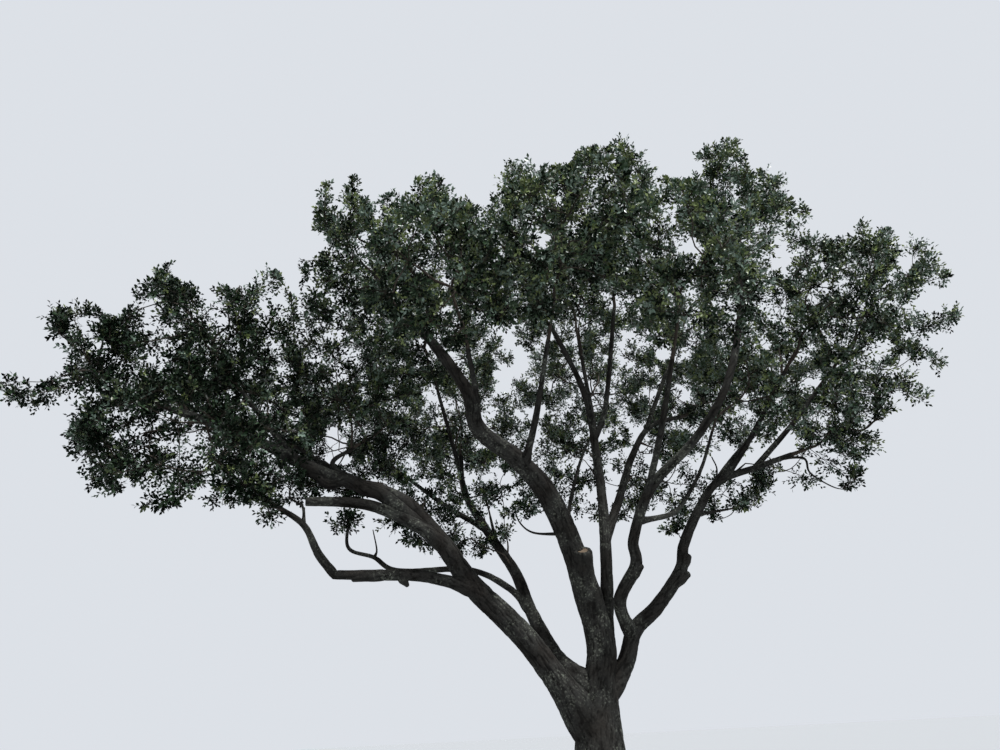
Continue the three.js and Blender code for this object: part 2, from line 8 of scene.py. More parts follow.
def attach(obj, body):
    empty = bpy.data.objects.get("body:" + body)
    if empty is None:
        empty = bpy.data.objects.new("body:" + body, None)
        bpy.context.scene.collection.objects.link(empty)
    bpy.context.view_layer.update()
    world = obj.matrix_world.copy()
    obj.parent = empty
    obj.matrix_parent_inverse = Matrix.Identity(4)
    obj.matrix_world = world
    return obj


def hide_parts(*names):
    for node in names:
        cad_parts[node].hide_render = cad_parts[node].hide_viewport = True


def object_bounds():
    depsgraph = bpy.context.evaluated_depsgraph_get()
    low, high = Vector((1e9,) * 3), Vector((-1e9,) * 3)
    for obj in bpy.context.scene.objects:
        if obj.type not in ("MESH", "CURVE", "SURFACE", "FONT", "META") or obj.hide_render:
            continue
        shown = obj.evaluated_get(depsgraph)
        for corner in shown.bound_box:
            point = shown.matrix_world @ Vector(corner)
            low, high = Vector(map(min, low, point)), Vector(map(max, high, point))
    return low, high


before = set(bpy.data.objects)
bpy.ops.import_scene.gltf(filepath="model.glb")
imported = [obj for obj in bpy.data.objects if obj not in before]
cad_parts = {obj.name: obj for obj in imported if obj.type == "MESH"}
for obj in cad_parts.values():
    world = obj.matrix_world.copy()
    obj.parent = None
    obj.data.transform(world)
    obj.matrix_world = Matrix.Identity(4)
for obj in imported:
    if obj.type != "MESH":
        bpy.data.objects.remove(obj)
CAD_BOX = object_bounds()

# The tree's looks over its solids. Sizes are in metres: X to the right of the picture, Y away from it, Z up.

# Trunk and boughs, as the solids have them
FLARE_HEIGHT = 1.1  # over which the root flare dies away
FLARE_SHARE = 0.34  # how much wider the flare makes the foot
FLARE_LOBES = 5  # roots that swell the foot
LOBE_SHARE = 0.13  # how far the lobes stand out of the flare
RINGS_PER_SPAN = 2  # rings between two points of a limb's way in the solids
GAP = 0.0003  # between a bough's tip and the stem on it

# Limbs: name, the limb it grows on, where on it, thickness at both ends, and its way
LIMBS = [
    ("trunk", None, 0, (1.2, 0.66), [(0, 0, 0), (0, 0, 1), (0.03, 0, 1.7), (0.12, 0, 2.35)]),
    ("left_bough", "trunk", 0.55, (0.54, 0.13),
     [(-0.58, -0.2, 2.35), (-1.32, -0.5, 3.33), (-2.2, -0.9, 4.2), (-2.8, -1.2, 5.05),
      (-3.5, -1.5, 5.72), (-4.8, -1.9, 6.15), (-6.2, -2.6, 6.75), (-7.4, -3.0, 7.15)]),
    ("left_high_bough", "left_bough", 0.8, (0.14, 0.08), [(-5.8, -2.2, 6.95), (-6.3, -2.6, 7.6)]),
    ("left_back_bough", "left_bough", 0.66, (0.15, 0.08), [(-4.9, -1.3, 6.5), (-5.7, -0.9, 7.1)]),
    ("left_inner_bough", "left_bough", 0.72, (0.13, 0.07), [(-4.75, -1.7, 6.45), (-4.4, -1.5, 6.8)]),
    ("sawn_bough", "left_bough", 0.47, (0.26, 0.16),
     [(-3.0, -1.45, 5.12), (-3.85, -1.8, 5.5), (-4.4, -2.05, 5.55), (-5.05, -2.2, 5.55)]),
    ("lower_left_limb", "left_bough", 0.36, (0.24, 0.16),
     [(-2.45, -1.1, 4.18), (-3.1, -1.5, 4.28), (-3.8, -1.8, 4.27), (-4.5, -2.1, 4.25)]),
    ("lower_left_limb_end", "lower_left_limb", 1, (0.16, 0.09),
     [(-4.78, -2.2, 4.6), (-5.05, -2.3, 5.1), (-5.5, -2.6, 5.4)]),
    ("second_left_bough", "trunk", 0.93, (0.34, 0.12),
     [(-0.62, 0.15, 2.9), (-1.07, 0.7, 3.87), (-1.35, 1.3, 4.8), (-2.0, 2.0, 6.0), (-2.5, 2.7, 7.1),
      (-2.6, 3.2, 8.2)]),
    ("far_left_bough", "second_left_bough", 0.66, (0.15, 0.08), [(-2.9, 2.2, 6.6), (-3.9, 2.2, 7.4)]),
    ("left_top_bough", "second_left_bough", 0.8, (0.14, 0.08), [(-2.6, 2.0, 7.6), (-3.0, 1.2, 9.2)]),
    ("under_left_bough", "second_left_bough", 0.6, (0.1, 0.05), [(-1.85, 1.45, 6.1)]),
    ("crooked_limb", "second_left_bough", 0.33, (0.15, 0.05),
     [(-1.5, 0.6, 4.35), (-2.3, 0.2, 4.68), (-3.64, -0.4, 4.61), (-4.1, -0.6, 4.85),
      (-4.55, -0.9, 5.0), (-4.5, -1.1, 5.6)]),
    ("centre_bough", "trunk", 1, (0.64, 0.12),
     [(0.22, 0, 3.0), (0.08, -0.15, 3.8), (-0.2, -0.55, 4.8), (-0.68, -1.2, 5.8), (-1.23, -1.8, 6.3),
      (-1.9, -2.4, 6.7), (-2.1, -2.9, 7.3), (-2.7, -3.1, 8.2), (-3.1, -3.1, 8.7)]),
    ("front_left_bough", "centre_bough", 0.68, (0.14, 0.08), [(-1.9, -3.1, 7.0), (-2.0, -3.9, 7.6)]),
    ("front_bough", "centre_bough", 0.53, (0.15, 0.08), [(-0.85, -2.7, 6.8), (-0.6, -3.7, 7.8)]),
    ("middle_bough", "centre_bough", 0.09, (0.3, 0.1),
     [(0.42, 0.05, 3.9), (0.54, 0.05, 5.6), (0.53, 0.1, 6.9), (0.35, -0.4, 8.2), (-0.3, -1.0, 9.6)]),
    ("top_bough", "middle_bough", 0.66, (0.15, 0.08), [(0.8, -0.3, 8.0), (1.1, -1.1, 9.9)]),
    ("top_back_bough", "middle_bough", 0.58, (0.15, 0.08), [(0.6, 0.6, 8.0), (0.5, 0.9, 10.2)]),
    ("back_bough", "middle_bough", 0.42, (0.17, 0.1), [(0.7, 1.4, 7.2), (0.9, 2.9, 9.0)]),
    ("right_centre_bough", "middle_bough", 0.34, (0.21, 0.1),
     [(0.99, 0.5, 6.14), (1.46, 0.9, 7.22), (2.0, 1.2, 8.0), (2.9, 1.9, 8.5)]),
    ("right_top_bough", "right_centre_bough", 0.7, (0.12, 0.08), [(2.4, 1.0, 9.0), (2.8, 0.9, 9.8)]),
    ("right_bough", "trunk", 0.86, (0.36, 0.1),
     [(0.66, 0.2, 2.75), (0.93, 0.25, 3.36), (1.45, 0.3, 3.8), (2.02, 0.3, 4.5), (2.16, 0.3, 5.0),
      (2.64, 0.3, 5.8), (3.1, 0.25, 6.3), (3.9, 0, 6.5), (4.5, -0.4, 6.6)]),
    ("third_bough", "right_bough", 0.2, (0.27, 0.1),
     [(0.6, -0.5, 3.82), (0.92, -0.9, 4.4), (0.9, -1.15, 4.85), (1.25, -1.7, 5.66), (2.0, -2.3, 6.3),
      (2.6, -2.8, 7.1), (3.1, -2.8, 8.4), (3.4, -2.6, 9.6)]),
    ("front_right_bough", "third_bough", 0.48, (0.14, 0.08), [(1.35, -2.8, 6.4), (1.5, -3.7, 7.3)]),
    ("crossing_bough", "third_bough", 0.42, (0.11, 0.06),
     [(1.7, -1.1, 5.3), (2.1, -0.9, 5.7), (2.5, -0.8, 6.3), (2.8, -0.9, 7.0)]),
    ("right_shoulder_bough", "right_bough", 0.8, (0.15, 0.08), [(3.8, -0.4, 7.1), (4.4, -1.3, 8.1)]),
    ("right_tip_bough", "right_bough", 0.88, (0.13, 0.08), [(4.8, -0.2, 7.4), (5.8, -0.5, 8.5)]),
    ("right_back_bough", "right_bough", 0.73, (0.14, 0.08), [(3.9, 0.9, 7.2), (4.9, 1.5, 8.1)]),
    ("under_right_bough", "right_bough", 0.64, (0.09, 0.05), [(3.25, 0.5, 5.75)]),
]

# Stubs, knobs, bare twigs and a twisted limb, written as the limbs are
SIDE_WOOD = [
    ("centre_stub", "centre_bough", 0.2, (0.4, 0.36), [(-0.02, -0.45, 4.3), (-0.05, -0.75, 4.72)]),
    ("third_knob", "third_bough", 0.2, (0.23, 0.13), [(1.0, -0.96, 4.37)]),
    ("right_knob", "right_bough", 0.4, (0.24, 0.14), [(2.15, 0.28, 4.4)]),
    ("right_upper_knob", "right_bough", 0.455, (0.22, 0.12), [(2.22, 0.28, 4.76)]),
    ("under_knob", "lower_left_limb", 0.62, (0.18, 0.07), [(-3.31, -1.54, 4.11)]),
    ("elbow_knob", "lower_left_limb", 0.72, (0.2, 0.15), [(-4.2, -1.97, 4.215)]),
    ("twisted_limb", "left_bough", 0.47, (0.26, 0.15),
     [(-3.67, -1.7, 5.68), (-4.11, -1.8, 5.86), (-4.42, -1.85, 6.04), (-4.72, -1.9, 5.94),
      (-4.98, -1.95, 6.11), (-5.28, -2.0, 6.29)]),
    ("crooked_prong", "crooked_limb", 0.667, (0.05, 0.02), [(-4.05, -0.6, 4.99), (-4.1, -0.8, 5.34)]),
    ("elbow_prong", "lower_left_limb_end", 0.667, (0.06, 0.02),
     [(-5.06, -2.4, 5.4), (-5.3, -2.4, 5.59), (-5.29, -2.4, 5.9)]),
    ("drooping_twig", "right_bough", 0.97, (0.06, 0.015),
     [(4.75, -0.4, 6.5), (4.8, -0.4, 6.19), (5.15, -0.5, 5.84), (5.44, -0.6, 5.73)]),
    ("centre_sucker", "centre_bough", 0.365, (0.05, 0.02),
     [(-0.94, -0.7, 5.15), (-1.22, -0.8, 5.34), (-1.34, -0.8, 5.7)]),
    ("thin_upright", "centre_bough", 0.36, (0.1, 0.05),
     [(-0.13, 0.2, 5.93), (0.21, 0.6, 6.99), (0.59, 0.9, 7.8)]),
    ("small_upright", "right_bough", 0.66, (0.06, 0.025),
     [(2.91, 0.1, 6.14), (3.06, 0.1, 6.51), (3.0, 0.1, 6.8)]),
]
SAWN = ("sawn_bough", "centre_stub")  # limbs that end in a flat cut

# Masses of leaves: name, the bough whose tip bears it, its seed, and its space's middle and reach
MASSES = [
    ("leaves_left_tip", "left_bough", 8, (-8.85, -3.4, 7.55), (1.6, 1.2, 1.05)),
    ("leaves_left_high", "left_high_bough", 13, (-7.1, -3.0, 8.95), (1.85, 1.4, 1.3)),
    ("leaves_left_low", "lower_left_limb_end", 10, (-6.6, -3.6, 6.2), (1.9, 1.5, 1.05)),
    ("leaves_left_back", "left_back_bough", 17, (-6.8, -0.6, 8.2), (1.7, 1.6, 1.4)),
    ("leaves_left_inner", "left_inner_bough", 37, (-4.6, -1.4, 7.9), (1.4, 1.4, 1.3)),
    ("leaves_left_shoulder", "centre_bough", 7, (-3.95, -3.0, 9.9), (1.5, 1.6, 1.45)),
    ("leaves_left_top", "left_top_bough", 14, (-3.4, 0.6, 10.6), (1.9, 1.8, 1.4)),
    ("leaves_far_left", "far_left_bough", 39, (-5.2, 2.0, 8.5), (1.8, 1.8, 1.4)),
    ("leaves_back_left", "second_left_bough", 38, (-2.6, 3.8, 9.6), (2.1, 1.9, 1.5)),
    ("leaves_under_left", "under_left_bough", 18, (-2.0, 1.4, 6.8), (1.3, 1.1, 0.75)),
    ("leaves_front_left", "front_left_bough", 14, (-2.3, -4.8, 8.8), (1.5, 1.5, 1.45)),
    ("leaves_front", "front_bough", 6, (-0.3, -5.1, 8.9), (1.5, 1.5, 1.3)),
    ("leaves_front_right", "front_right_bough", 1, (1.6, -4.8, 8.4), (1.5, 1.5, 1.4)),
    ("leaves_top_left", "middle_bough", 10, (-1.4, -2.0, 11.1), (1.8, 1.8, 1.55)),
    ("leaves_top", "top_bough", 39, (1.3, -2.3, 11.85), (1.7, 1.7, 1.6)),
    ("leaves_top_back", "top_back_bough", 34, (0.4, 1.2, 11.8), (2.0, 1.8, 1.5)),
    ("leaves_back", "back_bough", 15, (1.2, 4.4, 10.6), (2.1, 1.9, 1.6)),
    ("leaves_top_right", "third_bough", 21, (3.55, -2.5, 11.15), (1.6, 1.6, 1.5)),
    ("leaves_right_top", "right_top_bough", 2, (3.4, 0.8, 11.1), (1.8, 1.7, 1.4)),
    ("leaves_back_right", "right_centre_bough", 3, (4.3, 3.2, 9.5), (2.0, 1.9, 1.5)),
    ("leaves_right_shoulder", "right_shoulder_bough", 7, (5.3, -2.0, 9.4), (1.6, 1.6, 1.45)),
    ("leaves_right_tip", "right_tip_bough", 3, (6.8, -0.9, 9.85), (1.7, 1.5, 1.5)),
    ("leaves_right_back", "right_back_bough", 12, (6.1, 1.9, 9.0), (1.6, 1.6, 1.3)),
    ("leaves_right_low", "right_bough", 16, (5.8, -0.8, 7.2), (1.6, 1.5, 1.1)),
    ("leaves_right_inner", "crossing_bough", 16, (3.7, -1.0, 7.9), (1.4, 1.5, 1.1)),
    ("leaves_under_right", "under_right_bough", 5, (3.95, 0.8, 5.95), (1.0, 0.9, 0.6)),
]

# Leafy side shoots: the limb that bears one, where on it, and its space's middle and reach
SHOOTS = [
    # low among the boughs
    ("second_left_bough", 0.5, (-2.6, 1.5, 5.9), (1.2, 0.9, 0.7)),
    ("left_bough", 0.55, (-3.3, 0.2, 6.1), (1.0, 0.7, 0.55)),
    ("back_bough", 0.45, (0.9, 3.0, 7.3), (1.9, 1.1, 0.95)),
    ("back_bough", 0.5, (-0.1, 2.5, 8.3), (1.0, 0.8, 0.7)),
    ("right_centre_bough", 0.5, (1.9, 2.0, 7.7), (0.9, 0.8, 0.6)),
    ("right_centre_bough", 0.3, (2.6, 1.6, 6.8), (1.0, 0.8, 0.75)),
    ("right_bough", 0.82, (5.1, 0.3, 6.5), (1.1, 0.8, 0.5)),
    ("right_bough", 0.66, (3.5, 0.9, 6.3), (0.8, 0.6, 0.4)),
    ("lower_left_limb_end", 0.9, (-5.6, -3.0, 5.3), (0.7, 0.6, 0.35)),
    ("left_bough", 0.68, (-5.4, -1.9, 5.95), (0.5, 0.4, 0.3)),
    ("left_bough", 0.5, (-3.7, -0.6, 5.6), (0.6, 0.4, 0.3)),
    ("left_bough", 0.6, (-5.3, -1.7, 6.1), (0.6, 0.5, 0.5)),
    ("sawn_bough", 0.7, (-4.4, -2.0, 5.2), (0.4, 0.3, 0.22)),
    ("centre_bough", 0.4, (-1.1, -0.95, 5.5), (0.45, 0.3, 0.25)),
    ("right_bough", 0.55, (2.0, 0.5, 5.6), (0.45, 0.4, 0.3)),
    ("left_bough", 0.42, (-3.3, -0.75, 5.25), (0.5, 0.4, 0.3)),
    ("left_top_bough", 0.6, (-1.7, 1.0, 10.0), (0.6, 0.6, 0.6)),
    ("right_centre_bough", 0.8, (2.1, 1.5, 8.95), (0.6, 0.6, 0.5)),
    ("right_tip_bough", 0.9, (7.4, -0.6, 8.4), (0.8, 0.6, 0.5)),
    ("left_inner_bough", 0.95, (-4.95, -1.5, 9.0), (0.5, 0.5, 0.5)),
    ("top_back_bough", 0.9, (0.6, -0.6, 12.4), (0.7, 0.8, 0.5)),
    ("right_shoulder_bough", 0.95, (5.1, -0.9, 10.5), (0.7, 0.6, 0.6)),
    ("drooping_twig", 0.9, (5.6, -0.7, 5.95), (0.35, 0.35, 0.25)),
    ("right_shoulder_bough", 1, (5.4, -1.6, 11.3), (0.6, 0.6, 0.5)),
    ("right_tip_bough", 1, (7.3, -0.9, 11.3), (0.6, 0.5, 0.4)),
    ("second_left_bough", 0.6, (-3.2, 0.8, 7.3), (0.6, 0.6, 0.4)),
    ("second_left_bough", 0.55, (-1.6, 1.2, 7.0), (0.6, 0.6, 0.4)),
    ("middle_bough", 0.5, (-0.5, 1.0, 7.7), (0.5, 0.5, 0.4)),
    ("right_centre_bough", 0.6, (2.8, 1.3, 7.1), (0.5, 0.5, 0.4)),
    ("left_bough", 0.62, (-4.6, -1.0, 6.2), (0.5, 0.5, 0.3)),
    ("centre_bough", 0.95, (-4.1, -1.2, 9.8), (0.6, 0.6, 0.5)),
    # at the left end
    ("left_bough", 0.97, (-7.9, -3.0, 7.9), (0.7, 0.7, 0.6)),
    ("left_bough", 0.9, (-8.0, -3.4, 6.55), (0.8, 0.7, 0.6)),
    ("left_bough", 0.95, (-8.1, -3.6, 5.8), (0.6, 0.6, 0.4)),
    ("left_bough", 1, (-9.5, -3.3, 9.05), (0.8, 0.4, 0.3)),
    ("left_inner_bough", 1, (-5.5, -1.5, 9.4), (0.6, 0.5, 0.5)),
    # at the peaks of the outline
    ("left_high_bough", 1, (-7.75, -3.0, 9.75), (0.4, 0.4, 0.5)),
    ("centre_bough", 1, (-4.35, -3.2, 11.15), (0.4, 0.4, 0.6)),
    ("middle_bough", 1, (-2.5, -1.8, 12.3), (0.4, 0.4, 0.6)),
    ("middle_bough", 1, (-1.0, -2.2, 12.8), (0.35, 0.35, 0.6)),
    ("third_bough", 1, (3.75, -2.5, 12.75), (0.5, 0.4, 0.6)),
    ("third_bough", 1, (4.8, -2.3, 12.2), (0.4, 0.4, 0.6)),
    ("right_tip_bough", 1, (7.6, -0.9, 10.9), (0.6, 0.4, 0.3)),
]

# Growth of each mass's first twigs, as the solids have it
TWIG_THICKNESS = 0.032
STEM_THICKNESS = 0.075
THICKENING = 0.35  # power by which a twig thickens with the number of twigs that it bears
HEART = 0.7  # where a stem forks, as a share of the way from its foot to its space's middle
STEM_RUN = 0.35  # share of that way on which the stem keeps its first direction
DETOUR = 0.3  # how much the way already grown counts when a leaf chooses its joint
TEST_STEP = 0.12  # distance between the points of a twig that must lie in its own space
LEAF_LENGTH = 0.95
SHORTEST_LEAF = 0.8  # as a share of that length
LENGTH_SPREAD = 0.3
LEAF_WIDTH = 0.52
LEAF_THICKNESS = 0.04
LEAF_WIDEST = 0.45  # where a leaf is widest, as a share of its length
LEAF_TRIES = 5  # directions tried for a leaf before it is left out
LEAF_SPACING = 0.25  # kept between one leaf's points and another's
LEAVES_PER_METRE = 1.4  # leaves for each cubic metre of a mass's space, between the next two
FEWEST_LEAVES = 6
MOST_LEAVES = 15
OUTER_SHELL = 1  # how far out the tips of most leaves lie in a mass's space
INNER_SHELL = 0.62  # and how far out every third one's
SHELLS = 3
LEAN = 0.9  # how far leaves turn from straight outward
SPACE_MARGIN = 0.03  # how clearly a point belongs to its own mass, as a share of its reach
LIMB_MARGIN = 0.04  # kept between a twig or leaf and any limb
GOLDEN_TURN = math.pi * (3 - math.sqrt(5))

# Sprays, and the finer twigs that bear them
CROWN_SEED = 11
SPRAY_PLACES = (0.3, 0.75)  # where a solid's leaf bears sprays of small leaves, as shares of its length
SPRAYS_PER_METRE = 4.1  # sprays for each cubic metre of a space
THINNING = 0.03  # share by which sprays get fewer for each metre to the right
FEWEST_SPRAYS = 3
SPRAY_TRIES = 60  # places tried for each spray
SPRAY_SPACING = 0.32
SPRAY_ROOM = SPRAY_SPACING / 3  # kept between a spray's middle and any limb, besides LIMB_MARGIN
OUTWARD_CROWDING = 2.4  # how much thicker sprays stand near the edge of a space
FINE_MARGIN = 0.01  # the same as SPACE_MARGIN, for fine growth
BOX_SHARE = 0.02  # how far fine growth may stand out of the solids' box, as a share of its sides
SHOOT_RISE = 0.7  # how steeply a side shoot sets out
SHOOT_HEART = 0.5  # how far out of its space's middle a side shoot first forks, at most
JUST_SHORT = 0.999  # share of a limb's way just before its tip
FINEST_TWIG = 2.6  # how much thinner a twig with one spray is than the solids' twigs
STEM_FIT = 0.97  # a stem's thickness at its foot, as a share of its bough's tip
FORK_TAPER = 1.5  # how much thicker a twig may be at its foot than at its end
THICK_TWIG = 0.012  # radius above which a twig is a thick one
FEW_SIDES, MORE_SIDES = 3, 5  # sides of a thin twig and of a thick one
LONG_TWIG = 0.5  # length from which a twig sways
SWAY = 0.22  # how far a long twig strays from its line, as a share of its length
SWAY_FINENESS = 2.3
SHORT_STEPS, LONG_STEPS = 4, 8  # points along a short twig and a long one

# Spires, the upright shoots on some of a space's topmost sprays
SPIRE_SHARE = 0.4  # share of those sprays that send one up
SPIRE_HEIGHT = 0.3  # how high over its space's middle such a spray lies, as a share of its reach
SPIRE_DEPTH = 0.75  # and how far out
SPIRE_LENGTH = (0.3, 0.65)
SPIRE_LEAN = 0.45  # how far a spire leans outward
SPIRE_STRAY = 0.15  # and any other way
SPIRE_REACH = 2  # how far out it may reach, where 1 is the edge of its space

# Twiglets, on the end of a spray's twig or all along a spire
TWIGLETS = 24  # on each spray or spire
TWIGLET_LENGTH = 0.32
SPIRE_TWIGLET = 0.17  # length of those on a spire
TWIGLET_SPREAD = (0.6, 0.5)  # shortest, and how much longer the longest are, as shares of the length
TWIGLET_THICKNESS = 0.007
FINE_REACH = 1.1  # how far out a spray's twiglet may reach, where 1 is the edge of its space
CUT_BACK = 0.5  # share of its length that a twiglet keeps where the whole of it finds no room
SPRAY_RUN = 0.42  # length of a twig's end that bears its spray, at most
SPRAY_CLUSTERING = 1.4  # the higher, the more of the twiglets stand near the end itself
SPRAY_OUTWARD = 0.55  # how far a spray's twiglets turn outward
SPRAY_RISE = 0.35  # and upward
SPIRE_RISE = 0.9  # how far a spire's turn upward
SPIRE_FOOT = 0.15  # share of a spire that bears none

# Small leaves, along each twiglet
SMALL_LEAVES = 7
SMALL_LEAF_LENGTH = 0.082
SMALL_LEAF_WIDTH = 0.045
SMALL_LEAF_WIDEST = 0.52  # as a share of its length
SMALL_LEAF_SPREAD = (0.75, 0.5)  # shortest, and how much longer the longest are
LEAF_FOLD = 0.16  # how far a leaf's midrib lies below its edges, as a share of its width
LEAF_FOOT = 0.2  # share of a twiglet that bears none
LEAF_ANGLES = (70, 40)  # degrees between leaf and twiglet at its foot, and how many fewer at its tip
ANGLE_SPREAD = (0.8, 0.4)
FACING = (0.7, 0.5, 0.5)  # how far a leaf faces along its twiglet, upward, and any way

# The crown from the front: its outline and the gaps where it lets the sky through, as places X and Z where
# the lines of sight to them cross the plane Y = 0, and each gap's radius there
OUTLINE = [
    (-13.6, 9.7), (-11.6, 9.5), (-11.45, 10.1), (-12.5, 11), (-12.8, 11.8), (-11.7, 11.7), (-10.5, 11.2),
    (-10.3, 12.2), (-9.7, 12.8), (-9.1, 12), (-8.65, 12.4), (-7.65, 11.5), (-7.3, 12.4), (-6.55, 11.7),
    (-6.1, 10.8), (-6.3, 12.2), (-5.7, 12.8), (-6.2, 13.9), (-5.9, 14.9), (-5.2, 15.1), (-4.55, 13.9),
    (-4.1, 14.4), (-3.35, 14.9), (-2.95, 15.3), (-2.5, 14), (-1.7, 13.9), (-1.45, 15.1), (-0.8, 16),
    (-0.1, 14.9), (0.95, 15.5), (1.6, 15.8), (2.05, 16.5), (2.4, 15.6), (2.95, 14.8), (3.75, 14.3),
    (4.15, 15.5), (5.2, 16), (5.5, 14.7), (6.35, 14.6), (6.5, 13.2), (7, 12.2), (7.95, 12.8), (9.5, 12.05),
    (9.35, 10.75), (9.5, 9.85), (8.75, 9.1), (8.8, 8.35), (7.45, 7.95), (6.65, 6.85), (6.1, 6), (5.8, 5.7),
    (5.1, 5.75), (4.8, 5.5), (3.5, 5.55), (2.9, 5.25), (2.4, 4.8), (0.35, 4.7), (-3.05, 4.3), (-5.75, 5.2),
    (-7.2, 5.65), (-7.95, 6.1), (-10.4, 6.15), (-10.9, 6.9), (-11.25, 8.0), (-12.1, 8.8), (-13.6, 9.3),
]
SKY_GAPS = [
    ((-5.2, 7.35), 0.33), ((-5.1, 7.7), 0.24), ((3.35, 12.1), 0.28), ((3.3, 11.6), 0.2), ((0.31, 9.77), 0.2),
    ((-1.36, 9.1), 0.14), ((-1.3, 8.6), 0.16), ((-0.62, 8.06), 0.16), ((0.25, 7.89), 0.12),
    ((2.36, 7.97), 0.2), ((-1.3, 6.7), 0.25), ((1.7, 6.6), 0.2), ((7.6, 8.95), 0.25), ((4.77, 6.92), 0.24),
    ((5.38, 7.4), 0.16), ((6.76, 9.05), 0.16), ((2.67, 8.2), 0.18), ((2.3, 9.55), 0.15), ((3.03, 6.95), 0.2),
    ((-0.3, 12.4), 0.18), ((5.7, 11.3), 0.2),
]
RAGGED = 0.8  # how far the outline and the gaps stray
RAG_WIDTH = 0.45  # width of one such stray
RAG_OFFSET = 50.5  # shift from one noise to the next, half a cell off the lattice
AIR_FINENESS = 1.3  # fineness of the small holes all over the crown
AIR_LIMIT = 0.86  # the lower, the more of them
AIR_THINNING = 0.007  # and the limit is lower by this for each metre to the right
PROBE = 0.12  # distance from a spray to the places round it that are tested
OPEN_SIDES = 4  # how many of those six have to be open

# Bark
NOISE_SEED = 5
NOISE_SHIFT = np.array([3.1, 1.7, 5.3])  # shift of the noise from one limb to the next
FACET = 0.0308  # width of the widest facet round a limb
FEWEST_SIDES = 10
RING_STEP = 0.055  # distance between rings along a limb
FEWEST_STEPS = 6
LINE_STEPS = 40  # points in each span of a limb's way that its rings are measured along
END_ON = 0.9  # how nearly a line may run along RIGHT and still have its first way across from there
COLLAR = 0.45  # how much wider a limb is where it leaves its parent
COLLAR_RUN = 1.1  # and how far along, in the parent's radii
COLLAR_LIMIT = 0.93  # the widest collar, in the same
SWELLING = 0.16  # how far a limb's girth strays from its even taper
SWELLING_SIZE = np.array([0.7, 0.3, 0.3])  # along a limb and across it
BARK_PLATE = np.array([0.2, 0.05, 0.05])  # a plate's length and width
BARK_DEPTH = 0.025  # depth of the furrows, on a thick limb
THIN_BARK = (0.09, 0.001)  # and on a thin one: a share of its radius, and this more
BARK_SUNK = 0.7  # share of that depth that lies inside the limb's girth
STEEPNESS = 2.6  # how steeply plates rise out of the furrows
FINE_CRACKS = 2.3  # how much finer the small furrows are
FINE_SHARE = 0.25  # and how deep, as a share of the whole depth
WARP_FINENESS = 0.6  # fineness of the bends in the furrows
WARP_OFFSET, FINE_OFFSET = 7, 13  # keep each noise apart from the first
MID_RELIEF = 0.5  # relief at a round end's point and under the trunk
KNOB_FLATNESS = 0.6  # height of a knob's round end, in its radii
CAP_TURNS = (math.radians(30), math.radians(60))  # rings of a round end
CAP_SHADE = 0.8  # share of the relief left there
CALLUS = [(0.96, 0.16), (0.84, 0.28), (0.7, 0.3), (0.6, 0.24)]  # the rolled rim of a sawn end, in its radii
CUT_DEPTH = 0.16  # how far beyond the limb's last ring the sawn wood lies, in the same
CUT_EDGE = 0.9  # the sawn wood's width, as a share of the rim's inner one
CUT_MARK = 2.0  # value of the bark's relief that stands for sawn wood
CUT_FROM = 1.2  # above this value the bark shows as sawn wood

# Looks. A noise has its scale and detail, and stops go from a share of a noise or relief to its colour.
PATCH_NOISE, GRAIN_NOISE, SPOT_NOISE = (1.6, 6), (28, 5), (24, 4)
# the bark's own browns, greys and pale patches, made darker overall by painted shade of the crown
BARK_PATCHES = [(0.36, (0.018, 0.016, 0.014)), (0.55, (0.027, 0.027, 0.025)), (0.72, (0.055, 0.057, 0.05))]
# the furrows' darkness: partly the bark's own tone, partly painted shade in the recesses
FURROW_PAINTED_SHADE = [(0.1, (0.16, 0.15, 0.14)), (0.75, (1.05, 1.05, 1.05))]
GRAIN_SHADES = [(0.35, (0.72, 0.72, 0.72)), (0.65, (1.1, 1.1, 1.08))]
LICHEN_SPOTS = [(0.55, (0, 0, 0)), (0.66, (1, 1, 1))]
LICHEN_PATCHES = [(0.48, (0.04, 0.04, 0.04)), (0.62, (0.75, 0.75, 0.75))]
LICHEN = (0.15, 0.16, 0.13)
CUT_WOOD = (0.16, 0.12, 0.085)
BARK_FINISH = (0.92, 0.12)  # roughness and gloss
GRAIN_BUMP = (0.5, 0.01)  # strength and height
TWIG_COLOUR = (0.04, 0.032, 0.025)
TWIG_FINISH = (0.85, 0.2)
LEAF_ROUGHNESS = 0.35
# Leaf tints: colour, gloss, and the share of the twiglets that has it deep in the crown and in the sun.
# Dealt by place, the darker tints are painted shade and the paler grey and yellow ones are painted sunlight
# and glints
TINTS = {
    "shade": ((0.003, 0.006, 0.003), 0.03, 0.46, 0.04),
    "dark": ((0.012, 0.023, 0.012), 0.1, 0.28, 0.12),
    "green": ((0.03, 0.056, 0.026), 0.25, 0.16, 0.2),
    "olive": ((0.056, 0.076, 0.03), 0.25, 0.06, 0.18),
    "grey": ((0.11, 0.16, 0.12), 0.6, 0.03, 0.28),
    "yellow": ((0.14, 0.18, 0.06), 0.4, 0.01, 0.18),
}
PAINTED_LIGHT = (0.55, 0.35, 0.25)  # painted light: how light a space's middle is painted, and how much lighter its top and its edge
TINT_DRIFT = 0.9  # width of the crown's lighter and darker patches of painted light and shade
SHADE_FROM = -2.5  # painted shade: the crown grows darker to the left of this place
SIDE_SHADE = 0.15
SHADE_HEIGHT = 9.0  # and below this height
LOW_SHADE = 0.12

# Picture
EYE = np.array([-1.47, -15.0, 1.65])
PITCH = math.radians(26)
ROLL = math.radians(2.8)
FOCAL_PIXELS = 735
PICTURE_PIXELS = 1000
SENSOR = 36
VIEW_RANGE = 500
FLOOR_SIDE = 500
FLOOR_COLOUR = (0.34, 0.35, 0.36)
FLOOR_FINISH = (0.9, 0.2)
SKY_COLOUR = (0.9, 0.94, 1.0)
SKY_STRENGTH = 0.8
# Lamps: name, the way the light goes, strength, and softness in degrees
LAMPS = [("key", (-0.35, 0.45, -1.0), 4.6, 4), ("fill", (0.5, 1.0, -0.45), 0.25, 40)]

